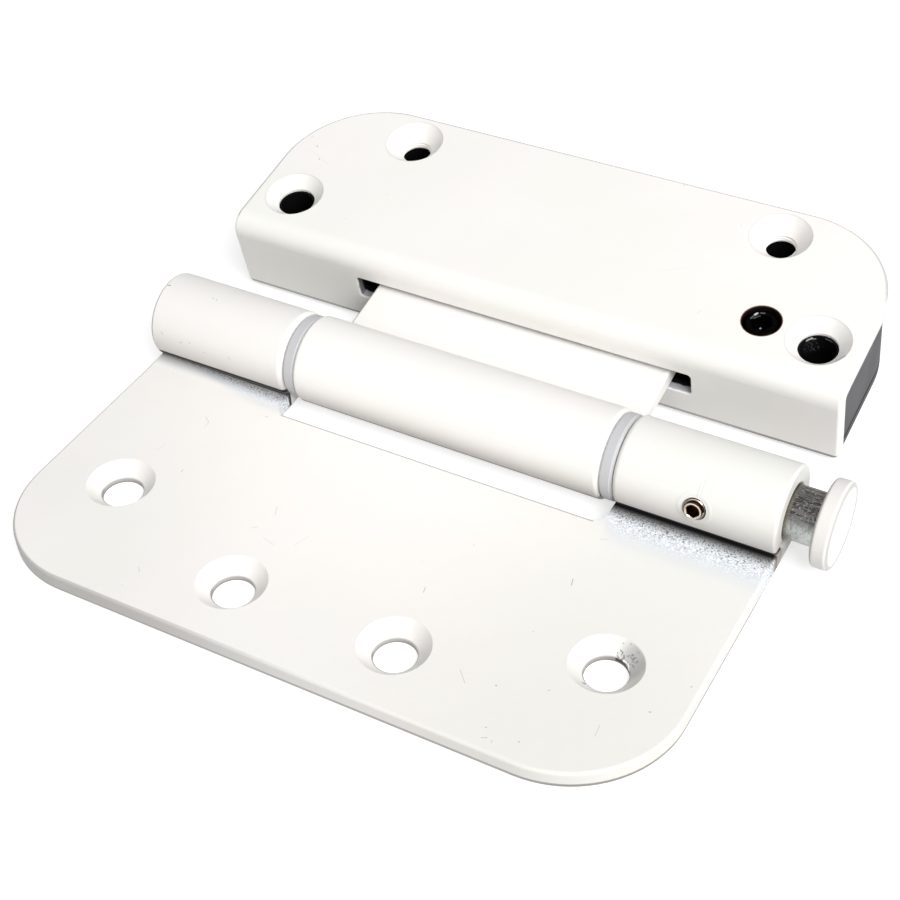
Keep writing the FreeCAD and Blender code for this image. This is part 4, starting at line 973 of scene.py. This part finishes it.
@dataclass
class DoorSide:
    """The door leaf with its two outer knuckles, and what stands in them."""

    outline: Outline = Outline(30.0, -51.2)

    def build(self) -> None:
        """Dress the leaf, the pin and the cap, and thread the set screw."""
        paint = LeafPaint("door_leaf_paint", foot=-7.05, outline=self.outline, chips=self.chips(),
                          colour=(0.895, 0.88, 0.848), rose=(0.893, 0.862, 0.838),
                          moss=(0.858, 0.858, 0.818),
                          hairs=self.leaf_hairs() + self.barrel_hairs() + self.hole_hairs())
        dress("door_leaf", paint.make())
        pin = PinSteel("pin_zinc", (0.47, 0.49, 0.48), (0.3, 0.31, 0.29), 0.3, (1.0, 0.12, 0.12))
        dress("hinge_pin", pin.make())
        dress("pin_cap", CapPaint("pin_cap_paint", rough=0.36).make())
        SetScrew().build()

    def leaf_hairs(self) -> Hairs:
        """Scratches and specks on the leaf's face.

        Returns:
            The marks.
        """
        rows = (
            (-46.26, -8.31, 0.22, 0.5), (-35.63, -14.67, -34.57, -15.41, 0.13, 0.35),
            (-34.57, -15.41, -34.4, -16.6, 0.13, 0.3), (-37.37, -22.17, -37.96, -23.91, 0.12, 0.2),
            (-31.87, -25.7, -31.8, -26.28, 0.16, 0.45), (-15.23, -26.29, -14.59, -27.76, 0.13, 0.35),
            (-16.02, -31.31, -15.39, -30.78, 0.13, 0.35), (-13.57, -32.27, -11.4, -32.83, 0.12, 0.25),
            (-8.9, -31.69, -8.0, -29.33, 0.12, 0.2), (-25.7, -44.6, -25.08, -45.21, 0.14, 0.4),
            (-25.65, -48.29, 0.22, 0.4), (-29.64, -8.5, 0.24, 0.5),
            (-27.58, -10.78, -27.3, -10.5, 0.16, 0.4), (13.21, -20.7, 0.24, 0.5), (8.46, -26.5, 0.22, 0.35),
            (11.22, -30.51, 11.44, -31.44, 0.15, 0.6), (28.12, -20.5, 28.41, -21.6, 0.16, 0.75),
            (27.65, -31.21, 0.24, 0.45), (22.33, -41.08, 23.91, -42.73, 0.14, 0.4),
            (27.61, -41.33, 0.3, 0.8), (33.75, -39.12, 34.0, -39.0, 0.18, 0.45), (29.64, -47.77, 0.28, 0.7),
            (29.92, -49.43, 30.5, -49.1, 0.16, 0.5), (31.25, -49.18, 31.35, -49.6, 0.15, 0.4),
            (34.27, -47.95, 0.28, 0.65), (41.9, -41.19, 42.1, -43.03, 0.13, 0.35),
            (28.1, -12.16, 28.97, -11.73, 0.13, 0.35), (49.45, -30.66, 0.28, 0.7),
            (46.4, -36.66, 46.6, -36.6, 0.24, 0.6), (14.7, -9.5, 14.9, -9.4, 0.2, 0.4))
        return surface_marks(rows, LEAF_TOP)

    def barrel_hairs(self) -> Hairs:
        """Nicks and specks on the left knuckle.

        Returns:
            The marks.
        """
        rows = (
            ((-50.7, -1.5, 6.2), (-49.9, -1.2, 6.5), 0.3, 0.9),
            ((-42.0, -1.08, 6.51), (-41.85, -1.1, 6.5), 0.26, 0.45),
            ((-41.29, -1.19, 6.49), (-41.1, -1.25, 6.47), 0.26, 0.4),
            ((-48.76, -6.41, 1.56), (-48.45, -6.49, 1.22), 0.3, 0.3),
            ((-45.25, -6.56, 0.69), (-45.0, -6.55, 0.85), 0.24, 0.4),
            ((-43.5, -6.49, 1.23), (-43.4, -6.5, 1.15), 0.24, 0.4),
            ((-40.8, -6.59, 0.33), (-40.8, -6.59, 0.33), 0.28, 0.5),
            ((-36.29, -6.51, 1.06), (-36.02, -6.58, 0.54), 0.22, 0.25))
        return tuple(Hair(*row) for row in rows)

    def chips(self) -> tuple[Chip, ...]:
        """Flaked spots on the countersinks' walls."""
        return (Chip((40.8, -28.9, -5.6), 2.2, 2.4, 0.4, (0.3, 0.3, 0.32)), Chip((36.6, -34.9, -5.9), 0.5),
                Chip((15.0, -41.0, -5.6), 1.2, 1.8, 0.4, (0.45, 0.45, 0.45)))

    def hole_hairs(self) -> Hairs:
        """Where the paint has cracked and flaked in the right outer hole.

        Returns:
            Dark cracks, the bare crescent at the hole's edge, the lifted white paint beside it and specks.
        """
        cracks = (
            ((38.62, -28.12, -5.56), (39.02, -28.28, -5.66), 0.26),
            ((39.02, -28.28, -5.66), (38.91, -28.5, -5.9), 0.2),
            ((39.27, -28.51, -5.85), (39.39, -28.71, -6.0), 0.32),
            ((39.39, -28.71, -6.0), (39.11, -28.91, -6.28), 0.24),
            ((38.68, -28.81, -6.25), (38.39, -28.68, -6.12), 0.22),
            ((38.3, -28.4, -5.85), (38.42, -28.52, -5.96), 0.18))
        bare = ((38.48, -28.96, -6.55), (39.18, -29.06, -6.56), (39.73, -29.28, -6.6),
                (40.01, -29.44, -6.72), (40.5, -29.9, -6.75), (40.85, -30.3, -6.7))
        lifted = ((39.46, -29.01, -6.27), (40.11, -29.24, -6.18), (40.47, -29.64, -6.28),
                  (40.69, -30.05, -6.43))
        specks = ((39.73, -28.54, -5.72), (40.22, -28.63, -5.59), (40.58, -28.77, -5.53),
                  (38.71, -27.44, -4.88), (39.71, -27.35, -4.61))
        hairs = [Hair(start, end, width, 0.72, (0.14, 0.14, 0.15)) for start, end, width in cracks]
        hairs += [Hair(*ends, 0.7, 0.95, (0.045, 0.026, 0.018)) for ends in zip(bare, bare[1:])]
        hairs += [Hair(*ends, 0.34, 0.9, WHITE) for ends in zip(lifted, lifted[1:])]
        hairs += [Hair(speck, speck, 0.34, 0.5) for speck in specks]
        return tuple(hairs)


@dataclass
class FrameArm:
    """The middle knuckle with its tongue, the rings beside it and the carriage under it."""

    nick: Hair = Hair((15.28, 8.11, 3.3), (15.4, 8.0, 3.3), 0.28, 0.55)
    rings: CloudedSkin = CloudedSkin("bearing_ring_plastic", (0.585, 0.585, 0.6), 0.9, (0.42, 0.52),
                                     (0.3, 2.0, 0.5), 0.01, pores=1.8)
    casting: CloudedSkin = CloudedSkin("carriage_casting", (0.52, 0.52, 0.53), 0.7, (0.42, 0.6),
                                       (0.38, 4.0, 0.6), 0.03, metallic=1.0)

    def build(self) -> None:
        """Dress the arm's pieces."""
        dress("slide_leaf", TonguePaint("slide_leaf_paint", Plane.BOX, hairs=(self.nick,)).make())
        ring = self.rings.make()
        dress("bearing_ring_left", ring)
        dress("bearing_ring_right", ring)
        dress("carriage", self.casting.make())
        dress("carriage_screws", PlatedSteel("screw_zinc").make())


@dataclass
class FrameBox:
    """The box that is let into the frame."""

    outline: Outline = Outline(0.0, 50.2)
    collar_bore: float = 2.4
    collar_pitch: float = 0.38
    collar_start: float = 0.72
    collar_turns: int = 2
    ridge_sink: float = 0.03
    ridge_height: float = 0.16
    socket_floor: float = 1.0

    def build(self) -> None:
        """Dress the box's pieces and wind the threads in its rear collars."""
        # A stripe of painted shade and a painted highlight in the right front countersink.
        painted_light_marks = (Hair((47.77, 24.39, 3.44), (48.49, 25.16, 3.77), 0.9, 0.55),
                  Hair((46.97, 23.67, 3.3), (46.97, 23.67, 3.3), 0.4, 0.9, WHITE))
        coat = CoverPaint("cover_paint", Plane.BOX, foot=-9.77, outline=self.outline, rim_reach=0.6,
                          rim_share=0.6, rim_right=0.85, hairs=self.hairs() + painted_light_marks).make()
        dress("cover", coat)
        plastic = GrainedPlastic(self.outline).make()
        dress("housing", plastic)
        dress("base_plate", plastic)
        dress("base_plate_screws", PlatedSteel("base_screw_zinc").make())
        oxide = CloudedSkin("adjuster_black", (0.0006, 0.0006, 0.0006), 1.8, (0.2, 0.34), (0.9, 3.0, 0.5),
                            0.02, plane=Plane.BOX, glints=self.glints(), specular=0.015)
        rubber = replace(oxide, name="ring_rubber", colour=(0.03, 0.03, 0.03), rough=(0.4, 0.54), glints=())
        dress("adjuster_pinion", oxide.make())
        dress("adjuster_ring", rubber.make())
        for side, name in ((-1.0, "collar_thread_left"), (1.0, "collar_thread_right")):
            self.wind_collar(name, side, coat)

    def hairs(self) -> Hairs:
        """Scratches and specks on the cover's face.

        Returns:
            The marks.
        """
        rows = (
            (-47.56, 36.86, -42.53, 34.58, 0.12, 0.16), (-46.66, 37.95, -46.5, 37.7, 0.24, 0.6),
            (-44.7, 35.33, -44.55, 35.1, 0.22, 0.5), (-48.85, 39.76, -48.6, 39.6, 0.14, 0.3),
            (-29.7, 31.62, 0.26, 0.35), (-28.53, 29.88, 0.24, 0.2), (-33.45, 24.51, 0.24, 0.3),
            (-12.72, 32.2, 0.26, 0.25), (13.66, 49.56, 13.8, 49.5, 0.24, 0.4), (25.31, 44.28, 0.24, 0.4),
            (0.75, 18.83, 1.44, 18.45, 0.15, 0.6), (26.66, 26.18, 26.28, 25.41, 0.2, 0.15),
            (14.08, 25.72, 0.26, 0.15), (30.17, 17.53, 0.26, 0.45), (17.87, 31.32, 20.76, 33.16, 0.14, 0.1))
        return surface_marks(rows, COVER_FACE)

    def glints(self) -> Hairs:
        """Painted highlights round the mouth of the adjuster's socket.

        Returns:
            The painted highlights, placed from the adjuster's axis.
        """
        x, y = ACCESS_HOLE
        rows = (
            ((-1.72, 0.24, 3.6), (-1.41, 1.14, 3.6), 0.34, 0.1),
            ((-1.41, 1.14, 3.6), (-1.26, 1.48, 3.6), 0.52, 0.6),
            ((-1.43, 0.53, 3.42), (-0.79, 1.5, 3.13), 0.34, 0.12),
            ((-0.76, 1.7, 3.6), (-0.28, 1.84, 3.6), 0.4, 0.1),
            ((-0.63, 1.08, self.socket_floor), (-0.63, 1.08, self.socket_floor), 0.42, 0.8))
        return tuple(Hair((x + start[0], y + start[1], start[2]), (x + end[0], y + end[1], end[2]),
                          width, share, WHITE) for start, end, width, share in rows)

    def wind_collar(self, name: str, side: float, coat: Material) -> None:
        """Wind the thread ridge in a rear collar.

        Args:
            name: The piece's name.
            side: -1 for the left collar and 1 for the right one.
            coat: The cover's paint.
        """
        ridge = ThreadRidge(self.collar_bore + self.ridge_sink, self.collar_bore - self.ridge_height,
                            self.collar_pitch, self.collar_turns, self.collar_start).build(name)
        x, y = BACK_HOLE
        ridge.location = (side * x * MM, (AXIS_Y + y * math.cos(BOX_TILT)) * MM,
                          (AXIS_Z + y * math.sin(BOX_TILT)) * MM)
        ridge.rotation_euler = (BOX_TILT, 0.0, 0.0)
        settle()
        ridge.data.materials.clear()
        ridge.data.materials.append(coat)
        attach(ridge, "frame_box")
        log.info("%s wound", name)


@dataclass
class Studio:
    """The floor, the lamp and the camera at the photograph's viewing angle."""

    camera_place: Point = (0.099324, -0.134396, 0.169514)
    camera_turn: tuple[float, float, float, float] = (0.8853611, 0.3924156, 0.1219074, 0.2174496)
    lens: float = 69.366
    sensor: float = 36.0
    shift: Spot = (-0.016657, -0.008749)
    floor_size: float = 8.0
    floor_drop: float = 0.00002
    floor_colour: Point = (0.6, 0.6, 0.6)
    floor_glow: float = 0.64
    backdrop: Spot = (220.0, 480.0)
    sky: float = 0.375
    key_place: Point = (0.75, -0.42, 0.8)
    key_target: Point = (0.0, 0.03, 0.0)
    key_size: float = 0.8
    key_share: float = 1.09

    def build(self) -> None:
        """Set up the view, the light and the floor."""
        self.set_camera()
        self.light_sky()
        self.hang_key()
        self.lay_floor()
        bpy.context.scene.view_settings.view_transform = "Standard"

    def set_camera(self) -> None:
        """Put the camera where the photograph was taken from."""
        data = bpy.data.cameras.new("photo_camera")
        data.sensor_width = self.sensor
        data.lens = self.lens
        data.shift_x, data.shift_y = self.shift
        data.clip_start = 0.01
        bpy.context.scene.camera = self.hang(data, self.camera_place, Quaternion(self.camera_turn))

    def hang(self, data: bpy.types.ID, place: Point, turn: Quaternion) -> Piece:
        """Put the camera or the lamp into the scene.

        Args:
            data: The camera or the light.
            place: Where it is.
            turn: How it is turned.

        Returns:
            The new object.
        """
        hung = bpy.data.objects.new(data.name, data)
        hung.location = place
        hung.rotation_mode = "QUATERNION"
        hung.rotation_quaternion = turn
        bpy.context.scene.collection.objects.link(hung)
        return hung

    def light_sky(self) -> None:
        """Plain light from all round, white where it is seen or mirrored."""
        world = bpy.data.worlds.new("studio_sky")
        bpy.context.scene.world = world
        world.use_nodes = True
        sky = Wiring(world.node_tree)
        level = sky.node("MapRange", {"Value": sky.seen()[1], "To Min": self.sky, "To Max": 1.0}).outputs[0]
        glow = sky.node("Background", {"Color": WHITE, "Strength": level}).outputs[0]
        sky.node("OutputWorld", {"Surface": glow})

    def hang_key(self) -> None:
        """One large soft lamp above, on the cap's side and towards the camera."""
        data = bpy.data.lights.new("soft_box", "AREA")
        data.shape = "SQUARE"
        data.size = self.key_size
        away = Vector(self.key_target) - Vector(self.key_place)
        data.energy = self.key_share * math.pi ** 2 * away.length ** 2
        self.hang(data, self.key_place, away.to_track_quat("-Z", "Y"))

    def lay_floor(self) -> None:
        """A plain pale floor that keeps the hinge's shadow and turns white far off."""
        pick()
        bpy.ops.mesh.primitive_plane_add(size=self.floor_size, location=(0.0, 0.0, -self.floor_drop))
        floor = bpy.context.object
        floor.name = "studio_floor"
        mix = Mix("studio_floor_white", self.floor_colour)
        direct, seen = mix.seen()
        far = mix.fade(mix.apart((0.0, 0.0, -AXIS_Z)), *self.backdrop, 0.0, 1.0 - self.floor_glow)
        level = mix.calc("MULTIPLY_ADD", direct, far, mix.calc("MULTIPLY", seen, self.floor_glow))
        glow = mix.node("Emission", {"Color": WHITE, "Strength": level}).outputs[0]
        matte = mix.node("BsdfDiffuse", {"Color": mix.tone}).outputs[0]
        surface = mix.node("AddShader", {0: matte, 1: glow}).outputs[0]
        mix.node("OutputMaterial", {"Surface": surface})
        floor.data.materials.append(mix.material)


def main() -> None:
    """Build the hinge's sub-assemblies in order, then the studio."""
    logging.basicConfig(level=logging.INFO, format="%(name)s: %(message)s")
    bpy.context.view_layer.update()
    pick()
    for part in (DoorSide(), FrameArm(), FrameBox(), Studio()):
        part.build()
        log.info("%s done", type(part).__name__)


if __name__ == "__main__":
    main()
